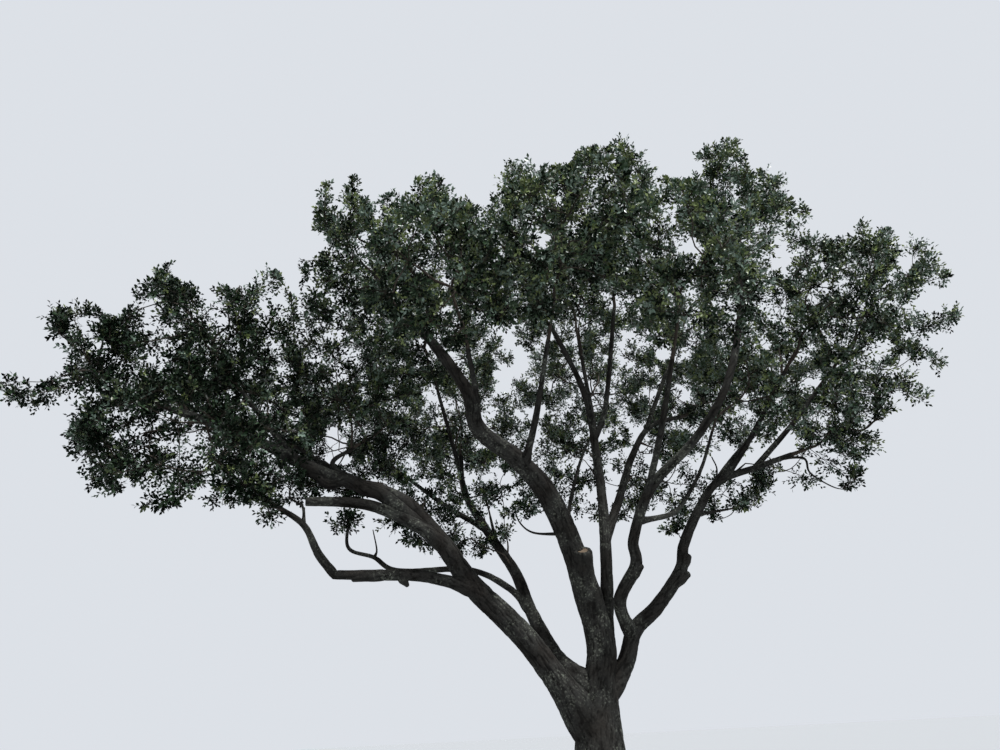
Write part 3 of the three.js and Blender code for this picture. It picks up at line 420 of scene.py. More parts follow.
RIGHT, AWAY, UP = np.eye(3)
NEARLY_UP = UP + 0.01  # no twiglet points just this way
CONE_FACES = ((0, 1, 3), (1, 2, 3), (2, 0, 3))  # three corners round the foot, then the tip
BLADE_FACES = ((0, 1, 2), (0, 2, 3))  # a leaf's root, edge, tip and other edge
WOOD = {limb[0]: limb for limb in LIMBS + SIDE_WOOD}
CENTRES = np.array([mass[3] for mass in MASSES])
REACHES = np.array([mass[4] for mass in MASSES])
LATTICE_SIDE = 32
LATTICE = np.random.default_rng(NOISE_SEED).random((LATTICE_SIDE,) * 3)


# Vectors, chance, noise and curves

def unit(vectors):
    """Vectors scaled to length 1, along their last axis."""
    vectors = np.asarray(vectors, float)
    return vectors / np.maximum(np.linalg.norm(vectors, axis=-1, keepdims=True), 1e-9)


def seeded(seed):
    """The solids' generator of even random numbers from 0 to 1."""
    word = 0xFFFFFFFF
    state = seed & word

    def draw():
        nonlocal state
        state = (state + 0x6D2B79F5) & word
        mixed = ((state ^ (state >> 15)) * (state | 1)) & word
        mixed ^= (mixed + (((mixed ^ (mixed >> 7)) * (mixed | 61)) & word)) & word
        return ((mixed ^ (mixed >> 14)) & word) / 2**32

    return draw


def noise(points):
    """Smooth noise from 0 to 1 at points."""
    cell = np.floor(points).astype(int)
    share = points - cell
    share = share * share * (3 - 2 * share)
    total = np.zeros(len(points))
    for corner in np.ndindex(2, 2, 2):
        weight = np.prod(np.where(corner, share, 1 - share), axis=1)
        i, j, k = ((cell + corner) % LATTICE_SIDE).T
        total += weight * LATTICE[i, j, k]
    return total


def curve(start, end, leaving, arriving, share):
    """Places on the smooth curve from start to end that leaves and arrives in the ways given."""
    return (start + leaving * share + (3 * (end - start) - 2 * leaving - arriving) * share**2
            + (2 * (start - end) + leaving + arriving) * share**3)


# Limbs

def point_on(points, shares):
    """Places on the smooth line through points, at shares of its spans."""
    points = np.asarray(points, float)
    spans = len(points) - 1
    padded = np.vstack([2 * points[0] - points[1], points, 2 * points[-1] - points[-2]])
    place = np.clip(np.asarray(shares, float), 0, 1) * spans
    span = np.minimum(place.astype(int), spans - 1)
    before, start, end, after = (padded[span + k] for k in range(4))
    return curve(start, end, (end - before) / 2, (after - start) / 2, (place - span)[..., None])


def way_of(name):
    """The points of a limb's way, from inside the limb that it grows on."""
    _, parent, at, _, way = WOOD[name]
    points = [np.array(point, float) for point in way]
    return [point_on(way_of(parent), at)] + points if parent else points


def radius_at(name, share):
    """A limb's radius at a share of its way."""
    thick = WOOD[name][3]
    return (thick[0] + (thick[1] - thick[0]) * share) / 2


def limb_spans():
    """The straight spans of every limb between the solids' rings: starts, ends and radii."""
    starts, ends, radii = [], [], []
    for name, *_ in LIMBS:
        way = way_of(name)
        shares = np.linspace(0, 1, (len(way) - 1) * RINGS_PER_SPAN + 1)
        middles = point_on(way, shares)
        starts.extend(middles[:-1])
        ends.extend(middles[1:])
        radii.extend(radius_at(name, shares[:-1]))
    return np.array(starts), np.array(ends), np.array(radii)


SPAN_STARTS, SPAN_ENDS, SPAN_RADII = limb_spans()


def clear_of_limbs(points, radius):
    """Which balls round points lie clear of every limb."""
    points = np.atleast_2d(points)
    run = SPAN_ENDS - SPAN_STARTS
    offset = points[:, None] - SPAN_STARTS
    share = np.clip((offset * run).sum(2) / (run * run).sum(1), 0, 1)
    away = np.linalg.norm(offset - share[..., None] * run, axis=2)
    return (away > SPAN_RADII + radius + LIMB_MARGIN).all(1)


# The room that leaves have

class Space:
    """The room of a mass or a side shoot: an ellipsoid. A mass has a number, and gives way to the others."""

    def __init__(self, centre, reach, number=None):
        self.centre = np.array(centre, float)
        self.reach = np.array(reach, float)
        self.number = number

    def volume(self):
        return 4 / 3 * math.pi * self.reach.prod()

    def depth(self, points):
        """How far out points lie: 1 is the edge."""
        return np.linalg.norm((np.atleast_2d(points) - self.centre) / self.reach, axis=1)

    def holds(self, points, margin, reach=1):
        """Which points lie in this space and nearer to its middle than to any other mass's."""
        own = self.depth(points)
        if self.number is None:
            return own <= reach
        others = np.linalg.norm((np.atleast_2d(points)[:, None] - CENTRES) / REACHES, axis=2)
        others[:, self.number] = np.inf
        return (own <= reach) & (others.min(1) > own + margin)


def inside_outline(places):
    """Which places lie inside the crown's outline, by how often a line from them crosses it."""
    inside = np.zeros(len(places), bool)
    x, z = places.T
    for (x0, z0), (x1, z1) in zip(OUTLINE, OUTLINE[1:] + OUTLINE[:1]):
        if z0 != z1:
            inside ^= ((z0 > z) != (z1 > z)) & (x < x0 + (x1 - x0) * (z - z0) / (z1 - z0))
    return inside


def in_the_open(points):
    """Which points lie near the solids' box, and from the front inside the outline and clear of the gaps."""
    points = np.atleast_2d(points)
    low, high = np.array(CAD_BOX)
    spare = BOX_SHARE * (high - low) * np.array([[1, 1, 0], [1, 1, 1]])
    free = ((points > low - spare[0]) & (points < high + spare[1])).all(1)
    share = EYE[1] / (EYE[1] - points[:, 1:2])
    seen = (EYE + (points - EYE) * share)[:, (0, 2)]
    spots = np.column_stack([seen / RAG_WIDTH, np.zeros(len(seen))]) + RAG_OFFSET
    seen += RAGGED * (np.column_stack([noise(spots), noise(spots + RAG_OFFSET)]) - 0.5)
    free &= inside_outline(seen) & (noise(spots * AIR_FINENESS) < AIR_LIMIT - AIR_THINNING * seen[:, 0])
    for place, radius in SKY_GAPS:
        free &= np.linalg.norm(seen - place, axis=1) > radius
    return free


def roomy(points):
    """Which points have open places most of the way round them."""
    points = np.atleast_2d(points)
    steps = np.vstack([np.eye(3), -np.eye(3)]) * PROBE
    around = in_the_open((points[:, None] + steps).reshape(-1, 3)).reshape(len(points), len(steps))
    return in_the_open(points) & (around.sum(1) >= OPEN_SIDES)


# Leaves and twigs as the solids have them

def leaf_outline(leaf):
    """A solid leaf's root, tip, middle and the two edges at its widest."""
    root, along, across, length = leaf
    tip = root + along * length
    middle = root + (tip - root) * LEAF_WIDEST
    return np.array([root, tip, middle, middle + across * LEAF_WIDTH / 2, middle - across * LEAF_WIDTH / 2])


def leaf_points(leaf):
    """Points spread over a solid leaf's two halves and its midrib."""
    root, tip, middle, *edges = leaf_outline(leaf)
    points = [root + (tip - root) * share for share in (0, 0.25, 0.5, 0.75, 1)]
    for edge in edges:
        points += [edge, (root + edge) / 2, (edge + tip) / 2, (edge + middle) / 2]
    return np.array(points)


def leaf_toward(space, height, turn, shell, draw):
    """A solid leaf whose tip lies in a direction from its mass's middle, on a shell of its space."""
    girth = math.sqrt(1 - height * height)
    outward = np.array([girth * math.cos(turn), girth * math.sin(turn), height])
    tip = space.centre + outward * space.reach * shell
    stray = np.array([draw() - 0.5, draw() - 0.5, draw() - 0.5]) * 2 * LEAN
    along = unit(outward + stray)
    length = min(1, *space.reach) * LEAF_LENGTH * (SHORTEST_LEAF + LENGTH_SPREAD * draw())
    upward = np.array([draw() - 0.5, draw() - 0.5, 1])
    return tip - along * length, along, unit(np.cross(along, upward)), length


def leaf_fits(space, leaf, leaves):
    """True where a solid leaf keeps to its space, clear of the limbs and apart from the leaves before it."""
    points = leaf_points(leaf)
    if not (space.holds(points, SPACE_MARGIN) & clear_of_limbs(points, LEAF_THICKNESS)).all():
        return False
    outline = leaf_outline(leaf)
    gaps = [np.linalg.norm(outline[:, None] - leaf_outline(other), axis=2).min() for other in leaves]
    return all(gap > LEAF_SPACING for gap in gaps)


def leaves_of(space, draw):
    """The solids' leaves of one mass, spread evenly over its space by the golden turn."""
    count = min(max(math.floor(space.volume() * LEAVES_PER_METRE + 0.5), FEWEST_LEAVES), MOST_LEAVES)
    leaves = []
    for k in range(count):
        height = 1 - 2 * (k + 0.5) / count
        shell = INNER_SHELL if k % SHELLS == SHELLS - 1 else OUTER_SHELL
        for _ in range(LEAF_TRIES):
            leaf = leaf_toward(space, height, k * GOLDEN_TURN + draw(), shell, draw)
            if leaf_fits(space, leaf, leaves):
                leaves.append(leaf)
                break
    return leaves


def twig_fits(space, start, end, margin):
    """True where a straight twig keeps to its space and clear of the limbs."""
    steps = math.ceil(np.linalg.norm(end - start) / TEST_STEP)
    points = start + (end - start) * np.linspace(0, 1, steps + 1)[:, None]
    return (space.holds(points, margin) & clear_of_limbs(points, TWIG_THICKNESS)).all()


def foot_of(space, bough, share):
    """Where a stem starts and which way it sets out: on from a bough's tip, or up from its side."""
    way = way_of(bough)
    foot = point_on(way, share)
    if share == 1:
        along = unit(foot - point_on(way, JUST_SHORT))
        return foot + along * GAP, along
    rise = SHOOT_RISE if space.centre[2] > foot[2] else 0
    return foot, unit(unit(space.centre - foot) + rise * UP)


class Twigs:
    """The joints of one stem's twigs: places, the joint each grows from, and the way grown to reach it."""

    def __init__(self, space, bough, share=1):
        self.space = space
        foot, along = foot_of(space, bough, share)
        to_heart = HEART if space.number is not None else max(HEART, 1 - SHOOT_HEART / space.depth(foot)[0])
        self.heart = foot + (space.centre - foot) * to_heart
        bend = foot + along * STEM_RUN * np.linalg.norm(self.heart - foot)
        self.points = [foot, bend, self.heart]
        self.parents = [0, 0, 1]
        self.travelled = [0.0, 0.0, 0.0]
        self.foot_radius = radius_at(bough, 1) if share == 1 else STEM_THICKNESS / 2

    def add(self, point, parent):
        """Adds a joint, and gives its number."""
        way = np.linalg.norm(point - self.points[parent])
        self.points.append(point)
        self.parents.append(parent)
        self.travelled.append(self.travelled[parent] + way)
        return len(self.points) - 1

    def join(self, point, margin):
        """Joins a point to the joint with the shortest way, where a twig fits. None where none does."""
        places = np.array(self.points)
        cost = np.linalg.norm(places - point, axis=1) + DETOUR * np.array(self.travelled)
        for k in np.argsort(cost[1:]) + 1:
            if twig_fits(self.space, places[k], point, margin):
                return self.add(point, int(k))
        return None

    def radii(self):
        """Radius at each joint, from the number of twigs that it bears."""
        loads = np.ones(len(self.points))
        for i in range(len(self.points) - 1, 0, -1):
            loads[self.parents[i]] += loads[i]
        fine = (TWIG_THICKNESS / FINEST_TWIG) * loads**THICKENING
        return np.minimum(fine, STEM_THICKNESS) / 2


def grow_mass(space, bough, seed):
    """One mass's twigs as the solids have them, with the joints that bear sprays."""
    draw = seeded(seed)
    twigs = Twigs(space, bough)
    sprays = []
    leaves = leaves_of(space, draw)
    for root, along, _, length in sorted(leaves, key=lambda leaf: np.linalg.norm(leaf[0] - twigs.heart)):
        if not roomy(root + along * length * SPRAY_PLACES[-1]).all():
            continue
        joint = twigs.join(root, SPACE_MARGIN)
        if joint is None:
            continue
        for share in SPRAY_PLACES:
            joint = twigs.add(root + along * length * share, joint)
            sprays.append(joint)
    return twigs, sprays


# Finer growth

def fill_space(twigs, sprays, random):
    """Adds sprays where a space still has room, each joined by the same rule."""
    space = twigs.space
    crowding = SPRAYS_PER_METRE * (1 - THINNING * space.centre[0])
    wanted = max(round(space.volume() * crowding), FEWEST_SPRAYS)
    tries = SPRAY_TRIES * wanted
    outward = unit(random.normal(size=(tries, 3)))
    depth = random.random(tries) ** (1 / (3 * OUTWARD_CROWDING))
    places = space.centre + outward * depth[:, None] * space.reach
    places = places[space.holds(places, FINE_MARGIN)]
    places = places[clear_of_limbs(places, SPRAY_ROOM) & roomy(places)]
    taken = [twigs.points[joint] for joint in sprays]
    for place in places:
        if len(taken) >= wanted:
            break
        if not taken or np.linalg.norm(np.array(taken) - place, axis=1).min() > SPRAY_SPACING:
            taken.append(place)
    for place in sorted(taken[len(sprays):], key=lambda place: np.linalg.norm(place - twigs.heart)):
        joint = twigs.join(place, FINE_MARGIN)
        if joint is not None:
            sprays.append(joint)


def raise_spires(twigs, sprays, random):
    """Adds upright shoots on some of a space's topmost sprays, and gives their joints."""
    space = twigs.space
    spires = []
    for joint in sprays:
        place = twigs.points[joint]
        outward = (place - space.centre) / space.reach
        lot, stray, length = random.random(), random.normal(size=3), random.uniform(*SPIRE_LENGTH)
        if outward[2] < SPIRE_HEIGHT or np.linalg.norm(outward) < SPIRE_DEPTH or lot > SPIRE_SHARE:
            continue
        tip = place + unit(UP + SPIRE_LEAN * unit(outward) + SPIRE_STRAY * stray) * length
        if space.holds(tip, FINE_MARGIN, SPIRE_REACH).all() and roomy(tip).all():
            spires.append(twigs.add(tip, joint))
    return spires


def all_round(count, phase):
    """Directions spread evenly over a sphere by the golden turn."""
    turn = np.arange(count) * GOLDEN_TURN + phase
    height = 1 - 2 * (np.arange(count) + 0.5) / count
    girth = np.sqrt(1 - height**2)
    return np.column_stack([girth * np.cos(turn), girth * np.sin(turn), height])


def sizes_from(least, more, random, count):
    """Random sizes: the least, and up to so much more."""
    return least + more * random.random(count)


def twiglets_at(twigs, joint, is_spire, random):
    """Roots and tips of the twiglets on the twig that ends in a joint."""
    space = twigs.space
    start, end = twigs.points[twigs.parents[joint]], twigs.points[joint]
    if is_spire:
        shares = sizes_from(SPIRE_FOOT, 1 - SPIRE_FOOT, random, TWIGLETS)
        usual, reach, turned = SPIRE_TWIGLET, SPIRE_REACH, SPIRE_RISE * UP
    else:
        run = min(1, SPRAY_RUN / np.linalg.norm(end - start))
        shares = 1 - random.random(TWIGLETS) ** SPRAY_CLUSTERING * run
        outward = unit((end - space.centre) / space.reach**2)
        usual, reach, turned = TWIGLET_LENGTH, FINE_REACH, SPRAY_OUTWARD * outward + SPRAY_RISE * UP
    roots = start + (end - start) * shares[:, None]
    ways = unit(all_round(TWIGLETS, random.random() * 2 * math.pi) + turned)
    lengths = usual * sizes_from(*TWIGLET_SPREAD, random, TWIGLETS)
    runs = ways * lengths[:, None]
    tips = roots + runs
    fits = space.holds(tips, FINE_MARGIN, reach) & in_the_open(tips)
    tips[~fits] = roots[~fits] + runs[~fits] * CUT_BACK
    fits |= space.holds(tips, FINE_MARGIN, reach) & in_the_open(tips)
    return roots[fits], tips[fits]


def twiglets_of(twigs, sprays, spires, random):
    """Roots and tips of every twiglet of a space."""
    grown = [twiglets_at(twigs, joint, False, random) for joint in sprays]
    grown += [twiglets_at(twigs, joint, True, random) for joint in spires]
    roots, tips = zip(*grown)
    return np.vstack(roots), np.vstack(tips)


# Meshes

class Mesh:
    """Corners and faces gathered for one piece."""

    def __init__(self):
        self.corners, self.faces, self.values = [], {3: [], 4: []}, []
        self.count = 0

    def add(self, corners, *groups, values=None):
        """Adds corners, and groups of faces of three or four that are numbered from the first of them."""
        for faces in groups:
            self.faces[faces.shape[1]].append(faces + self.count)
        self.corners.append(corners)
        self.count += len(corners)
        if values is not None:
            self.values.append(values)

    def build(self, name, look, attribute=None):
        """The piece, with the corners' values in an attribute where one is named."""
        mesh = bpy.data.meshes.new(name)
        corners = np.vstack(self.corners).astype(np.float32)
        mesh.vertices.add(len(corners))
        mesh.vertices.foreach_set("co", corners.ravel())
        groups = [np.vstack(self.faces[sides]) for sides in (3, 4) if self.faces[sides]]
        order = np.concatenate([group.ravel() for group in groups]).astype(np.int32)
        sizes = np.concatenate([np.full(len(group), group.shape[1]) for group in groups]).astype(np.int32)
        mesh.loops.add(len(order))
        mesh.loops.foreach_set("vertex_index", order)
        mesh.polygons.add(len(sizes))
        mesh.polygons.foreach_set("loop_start", (np.cumsum(sizes) - sizes).astype(np.int32))
        mesh.polygons.foreach_set("loop_total", sizes)
        mesh.update(calc_edges=True)
        if attribute:
            layer = mesh.attributes.new(attribute, "FLOAT", "POINT")
            layer.data.foreach_set("value", np.concatenate(self.values).astype(np.float32))
        mesh.materials.append(look)
        return link(name, mesh)


def link(name, data):
    """A new object in the scene."""
    made = bpy.data.objects.new(name, data)
    bpy.context.scene.collection.objects.link(made)
    return made


def frames_along(points):
    """Directions along a line and two across it at each point, turned no more than needed."""
    along = unit(np.gradient(points, axis=0))
    across = np.empty_like(along)
    side = RIGHT if abs(along[0][0]) < END_ON else UP
    for i, direction in enumerate(along):
        side = unit(side - direction * side.dot(direction))
        across[i] = side
    return along, across, np.cross(along, across)


def ring_faces(first, sides, second, fewer):
    """Faces from a ring of corners to the next, which has as many sides, or half as many, or is a point."""
    turn = np.arange(sides)
    nxt = (turn + 1) % sides
    if fewer == 1:
        return np.column_stack([first + turn, first + nxt, np.full(sides, second)])
    if fewer == sides:
        return np.column_stack([first + turn, first + nxt, second + nxt, second + turn])
    half = np.arange(fewer)
    a, b, c = first + 2 * half, first + 2 * half + 1, first + (2 * half + 2) % sides
    d, e = second + half, second + (half + 1) % fewer
    return np.vstack([np.column_stack(corners) for corners in ((a, b, d), (b, e, d), (b, c, e))])


# Bark

def chains():
    """Limbs that go on from one another's tips, each chain as a list of names."""
    followers = {limb[1]: limb[0] for limb in LIMBS if limb[2] == 1}
    result = []
    for name in [limb[0] for limb in WOOD.values() if limb[2] != 1]:
        chain = [name]
        while chain[-1] in followers:
            chain.append(followers[chain[-1]])
        result.append(chain)
    return result


def chain_line(chain):
    """The run to each of the even steps along a chain of limbs, and the middles and radii there."""
    middles, radii = [], []
    for name in chain:
        way = way_of(name)
        shares = np.linspace(0, 1, LINE_STEPS * (len(way) - 1) + 1)
        middles.append(point_on(way, shares))
        radii.append(radius_at(name, shares))
    middles, radii = np.vstack(middles), np.concatenate(radii)
    run = np.concatenate([[0], np.cumsum(np.linalg.norm(np.diff(middles, axis=0), axis=1))])
    steps = np.linspace(0, run[-1], max(int(run[-1] / RING_STEP), FEWEST_STEPS) + 1)
    even = np.column_stack([np.interp(steps, run, middles[:, axis]) for axis in range(3)])
    return steps, even, np.interp(steps, run, radii)


def flare(height, turn):
    """The root flare's widening."""
    fade = np.clip(1 - height / FLARE_HEIGHT, 0, None) ** 2
    return 1 + fade * (FLARE_SHARE + LOBE_SHARE * np.cos(FLARE_LOBES * turn))


def collared(radii, steps, buried):
    """Radii along a limb, with a collar where it comes out of the parent that its start is buried in."""
    out = np.clip(steps - buried, 0, None)
    collar = 1 + COLLAR * np.exp(-(out / (COLLAR_RUN * buried)) ** 2)
    return np.minimum(radii * collar, max(COLLAR_LIMIT * buried, radii[0]))


def sides_for(radius):
    """Facets round a limb: the fewest, doubled until each is narrow enough."""
    sides = FEWEST_SIDES
    while 2 * math.pi * radius / sides > FACET:
        sides *= 2
    return sides


def plates(spots):
    """Raised plates between narrow furrows, from 0 to 1."""
    return np.clip(np.abs(2 * noise(spots) - 1) * STEEPNESS, 0, 1)


def relief(spots, offset):
    """Height of the bark at spots along a limb and across it: 0 in a furrow, 1 on a ridge."""
    spots = spots / BARK_PLATE
    warp = noise(spots * WARP_FINENESS + offset + WARP_OFFSET) - 0.5
    coarse = plates(spots + offset + warp[:, None])
    fine = plates(spots * FINE_CRACKS + offset + FINE_OFFSET)
    return coarse * (1 - FINE_SHARE) + fine * FINE_SHARE


def bark_ring(step, reach, turn, depth, offset):
    """How far out the bark lies round a limb of even reach, and the height of its relief there."""
    spots = np.column_stack([np.full(len(turn), step), reach * np.cos(turn), reach * np.sin(turn)])
    swollen = reach * (1 + SWELLING * (noise(spots / SWELLING_SIZE + offset) - 0.5))
    height = relief(spots, offset)
    return swollen + depth * (height - BARK_SUNK), height


def limb_mesh(bark, chain, number):
    """A chain of limbs with a collar where it leaves its parent, swellings and furrowed bark."""
    steps, middles, radii = chain_line(chain)
    parent, at = WOOD[chain[0]][1:3]
    grown = collared(radii, steps, radius_at(parent, at)) if parent else radii
    along, across, beside = frames_along(middles)
    if not parent:
        across[0], beside[0] = RIGHT, AWAY
    sides = sides_for(radii[0])
    rings = []
    for i, middle in enumerate(middles):
        if sides > FEWEST_SIDES and sides_for(radii[i]) < sides:
            sides //= 2
        turn = np.arange(sides) * 2 * math.pi / sides
        even = grown[i] * (np.ones(sides) if parent else flare(middle[2], turn))
        depth = min(BARK_DEPTH, THIN_BARK[0] * radii[i] + THIN_BARK[1])
        reach, height = bark_ring(steps[i], even, turn, depth, number * NOISE_SHIFT)
        x, y = (reach * np.cos(turn))[:, None], (reach * np.sin(turn))[:, None]
        rings.append((middle + across[i] * x + beside[i] * y, height))
    close_tip(rings, middles[-1], along[-1], chain[-1])
    join_rings(bark, rings, None if parent else middles[0])


def close_tip(rings, middle, along, name):
    """Closes a limb's tip: flat where it was sawn off, round on a knob, else by a short taper."""
    ring, height = rings[-1]
    spread = ring - middle
    radius = np.linalg.norm(spread, axis=1).mean()
    if name in SAWN:
        for share, rise in CALLUS:
            rings.append((middle + spread * share + along * rise * radius, height))
        face = middle + along * CUT_DEPTH * radius
        rings.append((face + spread * CALLUS[-1][0] * CUT_EDGE, np.full(len(ring), CUT_MARK)))
        rings.append((face[None], np.array([CUT_MARK])))
        return
    flatness = KNOB_FLATNESS if name.endswith("knob") else 1
    for turn in CAP_TURNS:
        cap = middle + spread * math.cos(turn) + along * radius * math.sin(turn) * flatness
        rings.append((cap, height * CAP_SHADE))
    rings.append(((middle + along * radius * flatness)[None], np.array([MID_RELIEF])))


def join_rings(mesh, rings, foot):
    """One skin over rings of corners and their relief. A foot that is given closes it below."""
    corners, heights = map(list, zip(*rings))
    starts = np.cumsum([0] + [len(ring) for ring in corners])
    faces = [ring_faces(starts[i], len(corners[i]), starts[i + 1], len(corners[i + 1]))
             for i in range(len(rings) - 1)]
    if foot is not None:
        faces.append(ring_faces(0, len(corners[0]), starts[-1], 1)[:, (1, 0, 2)])
        corners.append(foot[None])
        heights.append(np.array([MID_RELIEF]))
    mesh.add(np.vstack(corners), *faces, values=np.concatenate(heights))


# Twigs and leaves

def line_of(twigs, end):
    """The smooth line from a joint's parent to it, led on from the one before."""
    points, parents = twigs.points, twigs.parents
    parent = parents[end]
    start, stop = points[parent], points[end]
    leaving = (stop - points[parents[parent]]) / 2 if parent else stop - start
    length = np.linalg.norm(stop - start)
    share = np.linspace(0, 1, SHORT_STEPS if length < LONG_TWIG else LONG_STEPS)[:, None]
    line = curve(start, stop, leaving, stop - start, share)
    if length < LONG_TWIG:
        return line
    sway = np.column_stack([noise(line * SWAY_FINENESS + (k + 1) * RAG_OFFSET) for k in range(3)]) - 0.5
    return line + SWAY * length * np.sin(math.pi * share) * sway


def tube(mesh, line, radii, sides):
    """A tube along a line."""
    _, across, beside = frames_along(line)
    turn = (np.arange(sides) * 2 * math.pi / sides)[:, None]
    outward = across[:, None] * np.cos(turn) + beside[:, None] * np.sin(turn)
    rings = line[:, None] + radii[:, None, None] * outward
    faces = [ring_faces(k * sides, sides, (k + 1) * sides, sides) for k in range(len(line) - 1)]
    mesh.add(rings.reshape(-1, 3), np.vstack(faces))


def twigs_mesh(mesh, twigs):
    """Every twig of a space, thick at its foot and thinner at each fork."""
    radii = twigs.radii()
    radii[0] = max(twigs.foot_radius * STEM_FIT, radii[0])
    for end in range(1, len(twigs.points)):
        parent = twigs.parents[end]
        start_radius = radii[0] if parent == 0 else min(radii[parent], radii[end] * FORK_TAPER)
        line = line_of(twigs, end)
        sides = MORE_SIDES if radii[end] > THICK_TWIG else FEW_SIDES
        tube(mesh, line, np.linspace(start_radius, radii[end], len(line)), sides)


def twiglets_mesh(mesh, roots, tips):
    """Thin cones of three sides."""
    way = unit(tips - roots)
    across = unit(np.cross(way, NEARLY_UP))
    beside = np.cross(way, across)
    ring = []
    for turn in (0, 2 * math.pi / 3, 4 * math.pi / 3):
        ring.append(roots + (across * math.cos(turn) + beside * math.sin(turn)) * TWIGLET_THICKNESS / 2)
    add_many(mesh, np.stack(ring + [tips], axis=1), CONE_FACES)


def small_leaves(roots, tips, random):
    """Leaves along each twiglet by the golden turn: folded blades of two faces, as four corners each."""
    count = len(roots)
    along = unit(tips - roots)
    across = unit(np.cross(along, unit(random.normal(size=(count, 3)))))
    beside = np.cross(along, across)
    corners = []
    phase = random.random(count) * 2 * math.pi
    for k in range(SMALL_LEAVES):
        share = LEAF_FOOT + (1 - LEAF_FOOT) * (k + 0.5) / SMALL_LEAVES
        turn = (phase + k * GOLDEN_TURN)[:, None]
        angle = math.radians(LEAF_ANGLES[0] - LEAF_ANGLES[1] * share)
        lean = (angle * sizes_from(*ANGLE_SPREAD, random, count))[:, None]
        way = along * np.cos(lean) + (across * np.cos(turn) + beside * np.sin(turn)) * np.sin(lean)
        facing = unit(along * FACING[0] + UP * FACING[1] + FACING[2] * random.normal(size=(count, 3)))
        edge = unit(np.cross(way, facing))
        normal = np.cross(edge, way)
        length = (SMALL_LEAF_LENGTH * sizes_from(*SMALL_LEAF_SPREAD, random, count))[:, None]
        half = length * SMALL_LEAF_WIDTH / SMALL_LEAF_LENGTH / 2
        root = roots + (tips - roots) * share
        middle = root + way * length * SMALL_LEAF_WIDEST + normal * half * 2 * LEAF_FOLD
        leaf = [root, middle + edge * half, root + way * length, middle - edge * half]
        corners.append(np.stack(leaf, axis=1))
    return np.stack(corners, axis=1)


def add_many(mesh, shapes, faces):
    """Adds many shapes with the same faces, each as a row of its corners."""
    firsts = np.arange(len(shapes))[:, None] * shapes.shape[1]
    groups = np.stack([firsts + np.array(face) for face in faces], axis=1)
    mesh.add(shapes.reshape(-1, 3), groups.reshape(-1, 3))


def deal_tints(space, tips, random):
    """A tint's number for each twiglet: darker with painted shade deep down in a space, lighter with painted
    light at its top and edge.
    """
    offset = (tips - space.centre) / space.reach
    drift = noise(tips / TINT_DRIFT + RAG_OFFSET) - 0.5
    # painted shade: darker to the left of the crown and low down in it
    shade = SIDE_SHADE * np.clip(SHADE_FROM - tips[:, 0], 0, None) + LOW_SHADE * (SHADE_HEIGHT - tips[:, 2])
    middle, top, edge = PAINTED_LIGHT
    depth = np.linalg.norm(offset, axis=1)
    painted_light = np.clip(middle + top * offset[:, 2] + edge * depth + drift - shade, 0, 1)
    deep, sunny = np.array([tint[2:] for tint in TINTS.values()]).T
    shares = deep + painted_light[:, None] * (sunny - deep)
    steps = np.cumsum(shares / shares.sum(1, keepdims=True), axis=1)
    return (random.random(len(tips))[:, None] > steps[:, :-1]).sum(1)


# Materials

def material(name, roughness, gloss):
    """A new material, and its shader."""
    made = bpy.data.materials.new(name)
    made.use_nodes = True
    shader = made.node_tree.nodes["Principled BSDF"]
    shader.inputs["Roughness"].default_value = roughness
    shader.inputs["Specular IOR Level"].default_value = gloss
    return made, shader


def plain_material(name, colour, roughness, gloss):
    """A material of one colour."""
    made, shader = material(name, roughness, gloss)
    shader.inputs["Base Color"].default_value = (*colour, 1)
    return made


def noise_texture(tree, scale, detail):
    """Noise that keeps its place on the piece."""
    place = tree.nodes.new("ShaderNodeTexCoord")
    made = tree.nodes.new("ShaderNodeTexNoise")
    made.inputs["Scale"].default_value = scale
    made.inputs["Detail"].default_value = detail
    tree.links.new(place.outputs["Object"], made.inputs["Vector"])
    return made.outputs["Fac"]


def ramp(tree, share, stops):
    """A colour that follows a share through the stops given."""
    made = tree.nodes.new("ShaderNodeValToRGB")
    elements = made.color_ramp.elements
    while len(elements) < len(stops):
        elements.new(0.5)
    for element, (place, colour) in zip(elements, stops):
        element.position = place
        element.color = (*colour, 1)
    tree.links.new(share, made.inputs["Fac"])
    return made.outputs["Color"]


def multiply(tree, first, second):
    """The product of two colours."""
    made = tree.nodes.new("ShaderNodeMix")
    made.data_type = "RGBA"
    made.blend_type = "MULTIPLY"
    made.inputs["Factor"].default_value = 1
    tree.links.new(first, made.inputs["A"])
    tree.links.new(second, made.inputs["B"])
    return made.outputs["Result"]


def blend(tree, share, colour, other):
    """A colour that gives way to another by a share."""
    made = tree.nodes.new("ShaderNodeMix")
    made.data_type = "RGBA"
    made.inputs["B"].default_value = (*other, 1)
    tree.links.new(share, made.inputs["Factor"])
    tree.links.new(colour, made.inputs["A"])
    return made.outputs["Result"]


